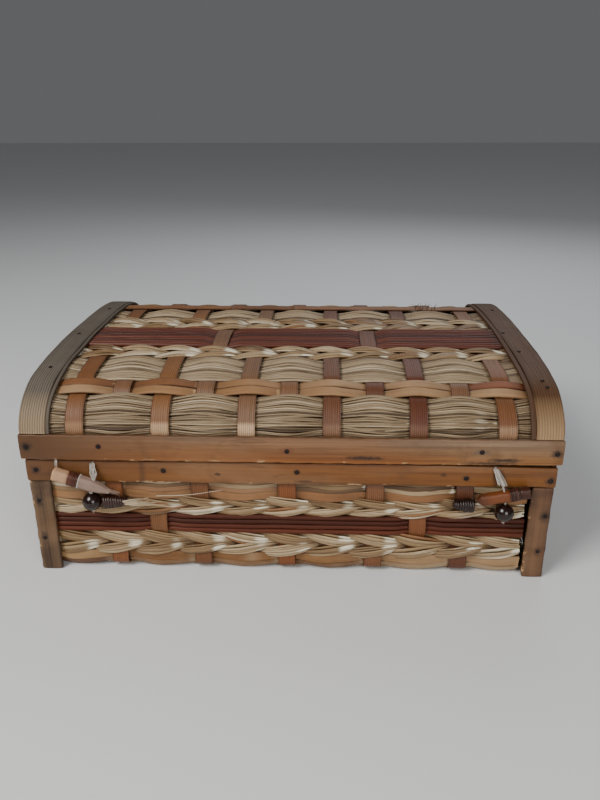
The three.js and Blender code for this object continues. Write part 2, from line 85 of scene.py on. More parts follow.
class Mesh:
    """Collects swept strands into one mesh with strand coordinates and a packed second map."""
    def __init__(self):
        self.v = []; self.quads = []; self.qgrain = []; self.qcell = []
        self.caps = []; self.attr = {"rnd": [], "tone": [], "along": [], "across": [], "mark": []}
        self.n = 0; self.cells = []

    def sweep(self, P, S, N, prof, w, h, rnd=0.5, tone=0.0, mark=None, caps=True, twist=None, closed_path=False):
        P = np.asarray(P, float); n = len(P); m = prof.shape[-2]
        w = np.broadcast_to(np.asarray(w, float), (n,)); h = np.broadcast_to(np.asarray(h, float), (n,))
        if twist is not None:
            c, s_ = np.cos(twist)[:, None], np.sin(twist)[:, None]
            S, N = S * c + N * s_, N * c - S * s_
        pr = prof if prof.ndim == 3 else np.broadcast_to(prof, (n, m, 2))
        V = P[:, None, :] + S[:, None, :] * (pr[:, :, 0:1] * w[:, None, None]) + N[:, None, :] * (pr[:, :, 1:2] * h[:, None, None])
        T = np.roll(P, -1, 0) - np.roll(P, 1, 0) if closed_path else np.gradient(P, axis=0)
        k0 = n // 2
        flip = np.dot(np.cross(N[k0], S[k0]), T[k0]) < 0
        L = np.r_[0, np.cumsum(np.linalg.norm(np.diff(P, axis=0), axis=1))]
        per = np.r_[0, np.cumsum(np.linalg.norm(np.diff(np.vstack([V[k0], V[k0][:1]]), axis=0), axis=1))]
        ni = n if closed_path else n - 1
        i = np.arange(ni)[:, None]; j = np.arange(m)[None, :]
        i2 = (i + 1) % n; j2 = (j + 1) % m
        a = i * m + j; b = i2 * m + j; c = i2 * m + j2; d = i * m + j2
        q = np.stack([a + 0 * j, b + 0 * j, c + 0 * i, d + 0 * i], -1).reshape(-1, 4)
        if closed_path:
            L = np.r_[L, L[-1] + np.linalg.norm(P[0] - P[-1])]
        gu0 = L[:-1] if closed_path else L[:-1]; gu1 = L[1:]
        U0 = np.broadcast_to(gu0[:, None], (ni, m)); U1 = np.broadcast_to(gu1[:, None], (ni, m))
        V0 = np.broadcast_to(per[None, :m], (ni, m)); V1 = np.broadcast_to(per[None, 1:m + 1], (ni, m))
        g = np.stack([np.stack([U0, V0], -1), np.stack([U1, V0], -1), np.stack([U1, V1], -1), np.stack([U0, V1], -1)], 2).reshape(-1, 4, 2)
        if flip:
            q = q[:, ::-1]; g = g[:, ::-1]
        off = float(self.n) * 0.0137
        self.quads.append(q + self.n); self.qgrain.append(g + np.array([0.0, off]))
        self.cells.append((max(L[-1], 1e-5), max(per[-1], 1e-5), len(q))); self.qcell.append(g)
        if caps and not closed_path:
            A = self.n + np.arange(m); B = self.n + (n - 1) * m + np.arange(m)
            if flip: B = B[::-1]
            else: A = A[::-1]
            self.caps.append((A[::-1] if False else A, B))
        self.v.append(V.reshape(-1, 3))
        rep = n * m
        self.attr["rnd"].append(np.full(rep, rnd));
        self.attr["tone"].append(np.broadcast_to(np.asarray(tone, float).reshape(-1, 1) if np.ndim(tone) else tone, (n, m)).reshape(-1).copy() if np.ndim(tone) else np.full(rep, float(tone)))
        self.attr["along"].append(np.repeat(np.linspace(0, 1, n), m))
        self.attr["across"].append(pr[:, :, 0].reshape(-1) * 0.5 + 0.5)
        self.attr["mark"].append(np.repeat(np.zeros(n) if mark is None else np.asarray(mark, float), m))
        self.n += rep

    def build(self, name, material, body, replaces=(), slot=None, smooth=True):
        V = np.concatenate(self.v); Q = np.concatenate(self.quads); G = np.concatenate(self.qgrain)
        if body == "base":      # nothing reaches below the plane it rests on: low parts are pressed flat
            lim = 0.45 * MM; low = V[:, 2] < lim
            V[low, 2] = lim * np.exp((V[low, 2] - lim) / lim)
        # pack one cell per strand for the second map
        area = sum((l * p) for l, p, _ in self.cells)
        W = math.sqrt(area) * 1.04
        order = sorted(range(len(self.cells)), key=lambda k: -self.cells[k][1])
        x = y = 0.0; row = 0.0; pos = {}
        pad = W * 0.0012
        for k in order:
            l, p, _ = self.cells[k]; l2 = min(l, W - pad)
            if x + l2 + pad > W + 1e-9:
                x = 0.0; y += row + pad; row = 0.0
            pos[k] = (x, y, l2 / l); row = max(row, p); x += l2 + pad
        H = max(y + row + pad, W)
        cu = []
        for k, g in enumerate(self.qcell):
            x0, y0, sc = pos[k]
            c = g.copy(); c[..., 0] = (c[..., 0] * sc + x0) / H; c[..., 1] = (c[..., 1] + y0) / H
            cu.append(c)
        CU = np.concatenate(cu)
        loops = [Q.reshape(-1)]; tot = [np.full(len(Q), 4)]; gu = [G.reshape(-1, 2)]; cc = [CU.reshape(-1, 2)]
        for A, B in self.caps:
            for C in (A, B):
                loops.append(C); tot.append(np.array([len(C)]))
                gu.append(np.zeros((len(C), 2))); cc.append(np.full((len(C), 2), 0.9995))
        loops = np.concatenate(loops).astype(np.int32); tot = np.concatenate(tot).astype(np.int32)
        start = np.r_[0, np.cumsum(tot)[:-1]].astype(np.int32)
        me = bpy.data.meshes.new(name)
        me.vertices.add(len(V)); me.vertices.foreach_set("co", V.astype(np.float32).ravel())
        me.loops.add(len(loops)); me.loops.foreach_set("vertex_index", loops)
        me.polygons.add(len(tot)); me.polygons.foreach_set("loop_start", start); me.polygons.foreach_set("loop_total", tot)
        me.polygons.foreach_set("use_smooth", np.full(len(tot), bool(smooth)))
        me.update(calc_edges=True)
        u1 = me.uv_layers.new(name="Grain"); u1.data.foreach_set("uv", np.concatenate(gu).astype(np.float32).ravel())
        u2 = me.uv_layers.new(name="OFBake"); u2.data.foreach_set("uv", np.concatenate(cc).astype(np.float32).ravel())
        for k, parts in self.attr.items():
            at = me.attributes.new(name=k, type="FLOAT", domain="POINT")
            at.data.foreach_set("value", np.concatenate(parts).astype(np.float32))
        me.validate(verbose=False)
        me.materials.append(material)
        o = bpy.data.objects.new(name, me)
        bpy.context.scene.collection.objects.link(o)
        if body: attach(o, body)
        if replaces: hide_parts(*replaces)
        return o

def ellipse(m, p=2.0):
    t = np.linspace(0, 2 * math.pi, m, endpoint=False) + math.pi / m
    c, s = np.cos(t), np.sin(t)
    return np.stack([np.sign(c) * np.abs(c) ** (2 / p), np.sign(s) * np.abs(s) ** (2 / p)], -1)

def slab(ridges=0, amp=0.0, crown=0.0, top=12, side=3):
    """Closed section from -1..1 by -1..1, upper face crowned or ridged."""
    pts = []
    k = top if not ridges else ridges * 3
    for a in np.linspace(0, math.pi / 2, side + 1)[:-1]:
        pts.append((0.97 + 0.03 * math.sin(a) - 0.0, -1 + 0.35 * (1 - math.cos(a))))
    for a in np.linspace(0, math.pi / 2, side + 1):
        pts.append((0.94 + 0.06 * math.cos(a), 0.55 + 0.45 * math.sin(a) - crown * 0.1))
    for x in np.linspace(0.93, -0.93, k):
        z = 1.0 + crown * (1 - x * x)
        if ridges: z += amp * (math.cos(x * ridges * math.pi) - 0.6)
        pts.append((x, z))
    for a in np.linspace(math.pi / 2, math.pi, side + 1):
        pts.append((-0.94 + 0.06 * math.cos(a), 0.55 + 0.45 * math.sin(a) - crown * 0.1))
    for a in np.linspace(0, math.pi / 2, side + 1)[1:]:
        pts.append((-1.0 + 0.03 * math.sin(a), -0.65 - 0.35 * math.sin(a)))
    for x in np.linspace(-0.85, 0.85, 4):
        pts.append((x, -1.0))
    return np.array(pts)

# ------------------------------------------------------------------ materials
def new_mat(name):
    m = bpy.data.materials.new(name); m.use_nodes = True
    nt = m.node_tree; nt.nodes.clear()
    out = nt.nodes.new("ShaderNodeOutputMaterial"); bs = nt.nodes.new("ShaderNodeBsdfPrincipled")
    nt.links.new(bs.outputs[0], out.inputs[0])
    return m, nt, bs

def node(nt, kind, **kw):
    n = nt.nodes.new(kind)
    for k, v in kw.items(): setattr(n, k, v)
    return n

def ramp(nt, fac, stops, interp="LINEAR"):
    r = nt.nodes.new("ShaderNodeValToRGB"); r.color_ramp.interpolation = interp
    el = r.color_ramp.elements
    while len(el) < len(stops): el.new(0.5)
    for e, (p, c) in zip(el, stops):
        e.position = p; e.color = c if not isinstance(c, (int, float)) else (c, c, c, 1)
    nt.links.new(fac, r.inputs[0])
    return r.outputs[0]

def mixc(nt, fac, a, b, mode="MIX"):
    m = nt.nodes.new("ShaderNodeMix"); m.data_type = "RGBA"; m.blend_type = mode; m.clamp_factor = True
    for sock, val in ((m.inputs[0], fac), (m.inputs[6], a), (m.inputs[7], b)):
        if isinstance(val, (int, float)): sock.default_value = val
        elif isinstance(val, tuple): sock.default_value = val
        else: nt.links.new(val, sock)
    return m.outputs[2]

def attr(nt, name):
    a = nt.nodes.new("ShaderNodeAttribute"); a.attribute_name = name; a.attribute_type = "GEOMETRY"
    return a.outputs["Fac"]

def mth(nt, op, a, b=None, clamp=False):
    m = nt.nodes.new("ShaderNodeMath"); m.operation = op; m.use_clamp = clamp
    for sock, val in ((m.inputs[0], a), (m.inputs[1], b)):
        if val is None: continue
        if isinstance(val, (int, float)): sock.default_value = val
        else: nt.links.new(val, sock)
    return m.outputs[0]

def noise(nt, vec, scale, detail=3.0, rough=0.55, dist=0.0):
    n = nt.nodes.new("ShaderNodeTexNoise"); n.inputs["Scale"].default_value = scale
    n.inputs["Detail"].default_value = detail; n.inputs["Roughness"].default_value = rough; n.inputs["Distortion"].default_value = dist
    nt.links.new(vec, n.inputs["Vector"])
    return n.outputs["Fac"]

def mapped(nt, vec, scale):
    m = nt.nodes.new("ShaderNodeMapping"); m.inputs["Scale"].default_value = scale
    nt.links.new(vec, m.inputs["Vector"])
    return m.outputs[0]

def fibre(name, tones, streak=(60, 2600), dark=0.45, rough=(0.42, 0.68), bump=0.35, dist=0.00025, spec=0.45,
          blotch=0.35, blotch_col=None, mark_col=None, wear_col=None, tone_dark=0.75, coat=0.0, edge=0.0, ridges=0, groove=0.5, crisp=False):
    """Plant fibre: per-strand tone, streaks along the strand, blotches over the piece, pale marks, painted shade in the
    ridge grooves and along the strand edges.
    """
    m, nt, bs = new_mat(name)
    uv = node(nt, "ShaderNodeUVMap", uv_map="Grain").outputs[0]
    obj = node(nt, "ShaderNodeTexCoord").outputs["Object"]
    s1 = noise(nt, mapped(nt, uv, (streak[0], streak[1], 1)), 1.0, 5.0, 0.62, 0.4)
    s2 = noise(nt, mapped(nt, uv, (streak[0] * 0.35, streak[1] * 0.3, 1)), 1.0, 3.0, 0.5, 0.2)
    base = ramp(nt, attr(nt, "rnd"), tones)
    st = ramp(nt, s1, [(0.30, 0.0), (0.52, 0.6), (0.75, 1.0)])
    c = mixc(nt, mth(nt, "MULTIPLY", mth(nt, "SUBTRACT", 1.0, st), dark), base, mixc(nt, 0.7, base, (0.03, 0.018, 0.01, 1)), "MIX")
    lightf = ramp(nt, s2, [(0.45, 0.0), (0.72, 1.0)])
    c = mixc(nt, mth(nt, "MULTIPLY", lightf, 0.28), c, mixc(nt, 1.0, c, (1.6, 1.55, 1.45, 1), "MULTIPLY"))
    b = ramp(nt, noise(nt, obj, 38.0, 4.0, 0.6, 0.3), [(0.36, 0.0), (0.68, 1.0)])
    bc = blotch_col if blotch_col else (0.55, 0.46, 0.36, 1)
    c = mixc(nt, mth(nt, "MULTIPLY", b, blotch), c, mixc(nt, 1.0, c, bc, "MULTIPLY"))
    # tone darkens the colour: in the weaves it carries painted shade, on other pieces a darker tone of their own
    t = attr(nt, "tone")
    c = mixc(nt, mth(nt, "MULTIPLY", t, tone_dark, True), c, mixc(nt, 1.0, c, (0.30, 0.22, 0.15, 1), "MULTIPLY"))
    # marks: a painted highlight on leaves and strips, partly wear and partly a painted highlight on stakes and bands,
    # the piece's own marks elsewhere
    if mark_col:
        mk = attr(nt, "mark")
        if crisp:
            rag = mth(nt, "ADD", mth(nt, "MULTIPLY", mth(nt, "SUBTRACT", s1, 0.5), 1.5), mth(nt, "MULTIPLY", mth(nt, "SUBTRACT", s2, 0.5), 0.7))
            mk = ramp(nt, mth(nt, "ADD", mk, mth(nt, "MULTIPLY", rag, 0.75)), [(0.42, 0.0), (0.70, 0.75), (1.0, 0.95)])
        else:
            mk = mth(nt, "MULTIPLY", mk, mth(nt, "ADD", 0.45, mth(nt, "MULTIPLY", s1, 1.1)), True)
        c = mixc(nt, mk, c, mark_col)
    # painted shade: the grooves between the ridges are darkened
    if ridges:
        wv = mth(nt, "SINE", mth(nt, "MULTIPLY", attr(nt, "across"), ridges * 2 * math.pi))
        gr = ramp(nt, mth(nt, "ADD", mth(nt, "MULTIPLY", wv, 0.5), 0.5), [(0.12, 1.0), (0.45, 0.0)])
        c = mixc(nt, mth(nt, "MULTIPLY", gr, groove), c, mixc(nt, 1.0, c, (0.28, 0.2, 0.14, 1), "MULTIPLY"))
    # painted shade: both long edges of each strand are darkened, standing in for the dark gaps between strands
    if edge > 0:
        ac = attr(nt, "across")
        e = mth(nt, "ABSOLUTE", mth(nt, "SUBTRACT", mth(nt, "MULTIPLY", ac, 2.0), 1.0))
        e = ramp(nt, e, [(0.78, 0.0), (1.0, 1.0)])
        c = mixc(nt, mth(nt, "MULTIPLY", e, edge), c, mixc(nt, 1.0, c, (0.35, 0.27, 0.2, 1), "MULTIPLY"))
    nt.links.new(c, bs.inputs["Base Color"])
    r = ramp(nt, s1, [(0.3, rough[1]), (0.7, rough[0])])
    nt.links.new(r, bs.inputs["Roughness"])
    bs.inputs["Specular IOR Level"].default_value = spec
    if coat: bs.inputs["Coat Weight"].default_value = coat; bs.inputs["Coat Roughness"].default_value = 0.28
    bp = node(nt, "ShaderNodeBump"); bp.inputs["Strength"].default_value = bump; bp.inputs["Distance"].default_value = dist
    hsum = mth(nt, "ADD", s1, mth(nt, "MULTIPLY", s2, 0.8))
    nt.links.new(hsum, bp.inputs["Height"]); nt.links.new(bp.outputs[0], bs.inputs["Normal"])
    return m

# pale mark colours of the leaves and strips are painted highlights
M_GRASS = fibre("seagrass_leaf", [(0.0, lin(62, 46, 30)), (0.10, lin(114, 95, 70)), (0.28, lin(150, 129, 100)), (0.55, lin(168, 146, 116)), (0.78, lin(186, 166, 134)), (0.93, lin(212, 196, 168)), (1.0, lin(140, 94, 58))],
                streak=(45, 2400), dark=0.5, bump=0.45, rough=(0.36, 0.6), edge=0.7, spec=0.42, mark_col=lin(230, 220, 196), crisp=True)
M_BRAID = fibre("braided_leaf", [(0.0, lin(98, 70, 42)), (0.2, lin(136, 106, 70)), (0.45, lin(164, 136, 98)), (0.7, lin(196, 172, 136)), (0.92, lin(226, 212, 186)), (1.0, lin(150, 104, 64))],
                streak=(40, 1700), dark=0.55, bump=0.5, rough=(0.34, 0.6), spec=0.45, edge=0.85, mark_col=lin(240, 231, 206), crisp=True)
M_FLAT = fibre("flat_cane_strip", [(0.0, lin(124, 78, 46)), (0.35, lin(150, 103, 64)), (0.6, lin(166, 124, 84)), (0.85, lin(182, 148, 110)), (1.0, lin(134, 76, 42))],
               streak=(24, 1500), dark=0.6, bump=0.4, rough=(0.42, 0.64), edge=0.75, spec=0.35, mark_col=lin(188, 156, 114), blotch=0.5, crisp=True)
M_RIM = fibre("rim_leaf", [(0.0, lin(126, 84, 46)), (0.35, lin(150, 108, 66)), (0.7, lin(172, 134, 90)), (1.0, lin(186, 152, 108))],
              streak=(24, 1300), dark=0.55, bump=0.4, rough=(0.42, 0.64), edge=0.6, spec=0.35, mark_col=lin(206, 182, 146), blotch=0.6)
M_STAKE = fibre("stake_cane", [(0.0, lin(136, 78, 38)), (0.25, lin(132, 84, 50)), (0.5, lin(126, 92, 66)), (0.75, lin(98, 50, 28)), (1.0, lin(136, 92, 54))],
                streak=(16, 2300), dark=0.45, bump=0.5, rough=(0.38, 0.6), spec=0.35, mark_col=lin(196, 164, 130), edge=0.5, ridges=9, groove=0.5)
M_REED = fibre("dark_reed", [(0.0, lin(58, 20, 8)), (0.35, lin(78, 30, 13)), (0.7, lin(98, 42, 20)), (1.0, lin(66, 24, 11))],
               streak=(14, 1500), dark=0.5, bump=0.4, rough=(0.36, 0.6), spec=0.4, blotch_col=(0.62, 0.5, 0.45, 1))
M_REED_B = fibre("dark_reed_base", [(0.0, lin(54, 20, 9)), (0.35, lin(72, 28, 14)), (0.7, lin(104, 48, 27)), (1.0, lin(64, 24, 12))],
               streak=(14, 1500), dark=0.65, bump=0.4, rough=(0.42, 0.64), spec=0.22, blotch_col=(0.62, 0.46, 0.4, 1))
M_BAND = fibre("edge_band_cane", [(0.0, lin(106, 101, 94)), (0.5, lin(110, 100, 88)), (1.0, lin(92, 60, 38))],
               streak=(14, 1900), dark=0.5, bump=0.5, rough=(0.5, 0.72), spec=0.22, mark_col=lin(146, 126, 100), edge=0.4, ridges=11, groove=0.5)
M_BAND_R = fibre("edge_band_right", [(0.0, lin(80, 57, 38)), (0.5, lin(88, 61, 39)), (1.0, lin(98, 63, 35))],
               streak=(14, 1900), dark=0.6, bump=0.5, rough=(0.45, 0.7), spec=0.25, mark_col=lin(170, 140, 104), edge=0.45, ridges=10, groove=0.4)
M_SLAT = fibre("bamboo_slat", [(0.0, lin(88, 64, 42)), (0.5, lin(98, 68, 42)), (1.0, lin(112, 72, 42))],
               streak=(14, 900), dark=0.55, bump=0.4, rough=(0.42, 0.62), mark_col=lin(50, 34, 22), edge=0.45, spec=0.35)
M_INNER = fibre("inner_slat", [(0.0, lin(128, 94, 56)), (0.5, lin(142, 106, 66)), (1.0, lin(154, 118, 78))],
                streak=(14, 900), dark=0.4, bump=0.3, rough=(0.45, 0.65), mark_col=lin(86, 60, 36), edge=0.3, spec=0.35)
M_CANE = fibre("dark_cane_wrap", [(0.0, lin(40, 19, 13)), (0.5, lin(58, 29, 21)), (1.0, lin(84, 47, 34))],
               streak=(30, 2400), dark=0.4, bump=0.4, rough=(0.25, 0.45), spec=0.45, coat=0.2)
M_BIND = fibre("pale_cane_wrap", [(0.0, lin(74, 40, 29)), (0.5, lin(92, 52, 38)), (1.0, lin(116, 72, 54))],
               streak=(30, 2400), dark=0.4, bump=0.4, rough=(0.3, 0.5), spec=0.4)
M_CORD = fibre("cotton_cord", [(0.0, lin(150, 143, 134)), (0.5, lin(184, 178, 170)), (1.0, lin(208, 204, 198))],
               streak=(260, 5000), dark=0.35, bump=0.5, rough=(0.75, 0.92), spec=0.2)
M_PEGL = fibre("pale_peg_bamboo", [(0.0, lin(144, 122, 110)), (1.0, lin(152, 128, 114))],
               streak=(30, 1500), dark=0.4, bump=0.4, rough=(0.5, 0.72), mark_col=lin(196, 152, 112), blotch_col=(0.7, 0.6, 0.55, 1), spec=0.3)
M_PEGR = fibre("brown_peg_bamboo", [(0.0, lin(118, 64, 28)), (1.0, lin(128, 70, 32))],
               streak=(24, 1300), dark=0.5, bump=0.35, rough=(0.34, 0.54), mark_col=lin(44, 20, 13), blotch=0.5, spec=0.4)

def rail_mat(name="bamboo_rail", cols=None, spots=(), left_dark=0.5, right_grey=0.0):
    """Old bamboo: orange at the worn lower edge, greyer above, long grain, stains round the nails."""
    m, nt, bs = new_mat(name)
    uv = node(nt, "ShaderNodeUVMap", uv_map="Grain").outputs[0]
    obj = node(nt, "ShaderNodeTexCoord").outputs["Object"]
    s1 = noise(nt, mapped(nt, uv, (7, 420, 1)), 1.0, 6.0, 0.66, 1.1)
    s2 = noise(nt, mapped(nt, uv, (4.0, 130, 1)), 1.0, 4.0, 0.55, 1.0)
    s3 = noise(nt, mapped(nt, uv, (60, 2600, 1)), 1.0, 3.0, 0.6, 0.0)
    c = ramp(nt, attr(nt, "across"), cols)
    c = mixc(nt, ramp(nt, s2, [(0.34, 0.5), (0.60, 0.0)]), c, mixc(nt, 1.0, c, (0.52, 0.46, 0.40, 1), "MULTIPLY"))
    c = mixc(nt, ramp(nt, s1, [(0.36, 0.5), (0.55, 0.0)]), c, mixc(nt, 1.0, c, (0.42, 0.36, 0.30, 1), "MULTIPLY"))
    c = mixc(nt, ramp(nt, s1, [(0.56, 0.0), (0.78, 0.35)]), c, mixc(nt, 1.0, c, (1.45, 1.5, 1.55, 1), "MULTIPLY"))
    g = noise(nt, mapped(nt, obj, (9, 9, 26)), 1.0, 4.0, 0.6, 0.6)
    c = mixc(nt, ramp(nt, g, [(0.50, 0.0), (0.72, 0.5)]), c, lin(136, 104, 74))
    d = noise(nt, mapped(nt, obj, (30, 60, 150)), 1.0, 5.0, 0.65, 0.8)
    c = mixc(nt, ramp(nt, d, [(0.63, 0.0), (0.74, 0.6)]), c, lin(64, 42, 26))
    x = node(nt, "ShaderNodeSeparateXYZ"); nt.links.new(obj, x.inputs[0])
    lft = ramp(nt, mth(nt, "ADD", mth(nt, "MULTIPLY", x.outputs[0], -3.0), 0.5), [(0.70, 0.0), (1.0, left_dark)])
    c = mixc(nt, lft, c, lin(84, 54, 28))
    if right_grey:
        rgt = ramp(nt, mth(nt, "ADD", mth(nt, "MULTIPLY", x.outputs[0], 3.0), 0.5), [(0.66, 0.0), (0.92, right_grey)])
        c = mixc(nt, rgt, c, mixc(nt, 1.0, c, (1.12, 1.40, 1.75, 1), "MULTIPLY"))
    sm = noise(nt, mapped(nt, obj, (42, 42, 46)), 1.0, 5.0, 0.6, 0.4)
    c = mixc(nt, ramp(nt, sm, [(0.54, 0.0), (0.70, 0.5)]), c, lin(92, 60, 32))
    ch = noise(nt, mapped(nt, obj, (150, 150, 380)), 1.0, 2.0, 0.5, 0.2)
    low = ramp(nt, attr(nt, "across"), [(0.0, 1.0), (0.05, 1.0), (0.12, 0.0)])
    c = mixc(nt, mth(nt, "MULTIPLY", ramp(nt, ch, [(0.60, 0.0), (0.66, 0.8)]), low), c, lin(190, 152, 108))
    # stains: (x, z, half length, half height, strength, colour)
    rag = mth(nt, "MULTIPLY", mth(nt, "SUBTRACT", noise(nt, mapped(nt, obj, (260, 260, 420)), 1.0, 3.0, 0.6, 0.5), 0.5), 1.3)
    for (sx, sz, rx, rz, k, col) in spots:
        dx = mth(nt, "MULTIPLY", mth(nt, "SUBTRACT", x.outputs[0], sx * MM), 1.0 / (rx * MM))
        dz = mth(nt, "MULTIPLY", mth(nt, "SUBTRACT", x.outputs[2], sz * MM), 1.0 / (rz * MM))
        dd = mth(nt, "SQRT", mth(nt, "ADD", mth(nt, "MULTIPLY", dx, dx), mth(nt, "MULTIPLY", dz, dz)))
        c = mixc(nt, ramp(nt, mth(nt, "ADD", dd, rag), [(0.35, k), (1.0, 0.0)]), c, col)
    mk = attr(nt, "mark")
    c = mixc(nt, mth(nt, "MULTIPLY", mk, 0.75, True), c, lin(62, 38, 20))
    c = mixc(nt, mth(nt, "MULTIPLY", attr(nt, "tone"), 0.7, True), c, lin(70, 44, 24))
    nt.links.new(c, bs.inputs["Base Color"])
    nt.links.new(ramp(nt, s1, [(0.3, 0.56), (0.7, 0.38)]), bs.inputs["Roughness"])
    bs.inputs["Specular IOR Level"].default_value = 0.4
    bp = node(nt, "ShaderNodeBump"); bp.inputs["Strength"].default_value = 0.4; bp.inputs["Distance"].default_value = 0.0003
    nt.links.new(mth(nt, "ADD", mth(nt, "MULTIPLY", s1, 1.0), mth(nt, "MULTIPLY", s3, 0.5)), bp.inputs["Height"])
    nt.links.new(bp.outputs[0], bs.inputs["Normal"])
    return m
C_LID = [(0.0, lin(146, 88, 36)), (0.22, lin(136, 84, 40)), (0.5, lin(134, 92, 56)), (0.85, lin(140, 104, 74)), (1.0, lin(122, 88, 62))]
C_BASE = [(0.0, lin(118, 72, 28)), (0.25, lin(130, 80, 30)), (0.6, lin(128, 80, 34)), (0.85, lin(124, 78, 38)), (1.0, lin(96, 58, 28))]
DK, GR, RD = lin(40, 26, 17), lin(92, 78, 66), lin(104, 54, 34)
M_RAIL = rail_mat("bamboo_rail", C_LID)
M_POST_L = rail_mat("post_left", [(0.0, lin(108, 84, 60)), (0.30, lin(84, 63, 43)), (0.44, lin(76, 55, 36)), (0.49, lin(38, 26, 17)), (0.54, lin(88, 65, 43)), (0.85, lin(100, 77, 54)), (1.0, lin(80, 60, 42))],
                    [(-172.4, 55.8, 4.0, 6.0, 0.8, lin(40, 26, 17)), (-172.1, 26.0, 3.5, 7.0, 0.7, lin(52, 34, 22)), (-170, 68, 9, 5, 0.5, lin(60, 42, 28)), (-174, 10, 4, 9, 0.4, lin(60, 40, 26))], 0.0)
M_POST_R = rail_mat("post_right", [(0.0, lin(74, 47, 29)), (0.2, lin(100, 70, 46)), (0.5, lin(110, 76, 50)), (0.8, lin(93, 61, 38)), (1.0, lin(80, 48, 29))],
                    [(173.9, 49.3, 5.0, 5.5, 0.8, lin(44, 28, 18)), (171.8, 21.3, 3.5, 4.5, 0.65, lin(52, 32, 20)), (168, 67, 8, 4, 0.4, lin(60, 40, 26))], 0.0)
M_RAIL_LID = rail_mat("bamboo_rail_lid_front", C_LID, [
    (-175, 97.4, 5.0, 4.6, 0.85, DK), (-126.4, 98.4, 4.0, 3.0, 0.5, RD), (-1, 96.8, 6.0, 3.2, 0.55, RD), (126.8, 97.6, 8.0, 2.6, 0.75, GR), (175.6, 96.9, 5.0, 4.2, 0.7, DK),
    (50, 92.4, 17, 1.9, 0.85, DK), (142, 91.8, 14, 1.9, 0.9, DK), (131, 89.6, 22, 1.2, 0.7, DK), (-60, 104, 30, 3, 0.35, GR), (90, 103, 40, 4, 0.35, GR)], 1.0, 0.8)
M_RAIL_BASE = rail_mat("bamboo_rail_base_front", C_BASE, [
    (-171.4, 79.8, 4.6, 4.0, 0.8, DK), (-84.5, 80.3, 3.2, 2.8, 0.5, DK), (5.4, 80.4, 3.4, 2.8, 0.5, DK), (118.3, 77.6, 3.6, 3.0, 0.5, DK), (174.2, 76.2, 5.0, 4.4, 0.8, DK),
    (-48, 78.2, 2.6, 1.6, 0.8, DK), (103, 79.8, 2.8, 2.2, 0.7, DK), (140, 78, 5, 8, 0.75, DK), (-152, 76, 16, 5, 0.5, DK), (10, 73.4, 8, 1.4, 0.6, DK)], 0.75)

def bead_mat():
    m, nt, bs = new_mat("bead_lacquer")
    obj = node(nt, "ShaderNodeTexCoord").outputs["Object"]
    g = noise(nt, mapped(nt, obj, (900, 900, 160)), 1.0, 4.0, 0.6, 1.2)
    c = ramp(nt, g, [(0.3, lin(14, 6, 4)), (0.55, lin(30, 14, 9)), (0.8, lin(58, 28, 17))])
    nt.links.new(c, bs.inputs["Base Color"])
    nt.links.new(ramp(nt, g, [(0.3, 0.2), (0.7, 0.3)]), bs.inputs["Roughness"])
    bs.inputs["Specular IOR Level"].default_value = 0.3; bs.inputs["Coat Weight"].default_value = 0.45; bs.inputs["Coat Roughness"].default_value = 0.1
    bp = node(nt, "ShaderNodeBump"); bp.inputs["Strength"].default_value = 0.15; bp.inputs["Distance"].default_value = 0.0002
    nt.links.new(g, bp.inputs["Height"]); nt.links.new(bp.outputs[0], bs.inputs["Normal"])
    return m
M_BEAD = bead_mat()

def nail_mat():
    m, nt, bs = new_mat("nail_iron")
    obj = node(nt, "ShaderNodeTexCoord").outputs["Object"]
    g = noise(nt, obj, 900.0, 4.0, 0.6)
    c = ramp(nt, g, [(0.35, lin(26, 20, 18)), (0.6, lin(52, 42, 38)), (0.8, lin(92, 58, 38))])
    nt.links.new(c, bs.inputs["Base Color"])
    nt.links.new(ramp(nt, g, [(0.3, 0.35), (0.7, 0.65)]), bs.inputs["Roughness"])
    bs.inputs["Metallic"].default_value = 0.7
    bp = node(nt, "ShaderNodeBump"); bp.inputs["Strength"].default_value = 0.4; bp.inputs["Distance"].default_value = 0.0002
    nt.links.new(g, bp.inputs["Height"]); nt.links.new(bp.outputs[0], bs.inputs["Normal"])
    return m
M_NAIL = nail_mat()

# ------------------------------------------------------------------ dimensions from the frame
def box(n):
    a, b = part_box(n)
    return np.array(a, float), np.array(b, float)
bm0, bm1 = box("base_mat"); lm0, lm1 = box("lid_mat")
lrf0, lrf1 = box("lid_rail_front"); brf0, brf1 = box("base_rail_front")
LB0, LB1 = box("lid_band_left")
HALF = -LB0[1]                       # outer face of the bands
LIDTOP = LB1[2]
RAIL_HI = lrf1[2]; LID_LO = lrf0[2]; BASE_TOP = brf1[2]; BRAIL_LO = brf0[2]

# ------------------------------------------------------------------ closures first (cords)
CLOSE = {
    "left": dict(top=(-131.5, -137.7, 86.6), a=(-130.9, -141.3, 75.8), b=(-133.75, -141.3, 65.6), bead=(-133.75, -141.3, 58.6),
                 A=(-158.2, -141.3, 79.5), B=(-120.7, -141.3, 67.1)),
    "right": dict(top=(136.4, -137.7, 86.6), a=(142.6, -141.3, 72.6), b=(144.6, -141.3, 62.4), bead=(144.6, -141.3, 54.6),
                  A=(160.0, -141.3, 70.1), B=(125.9, -141.3, 63.4)),
}
BEAD_R = 6.1
CORD_R = 0.8

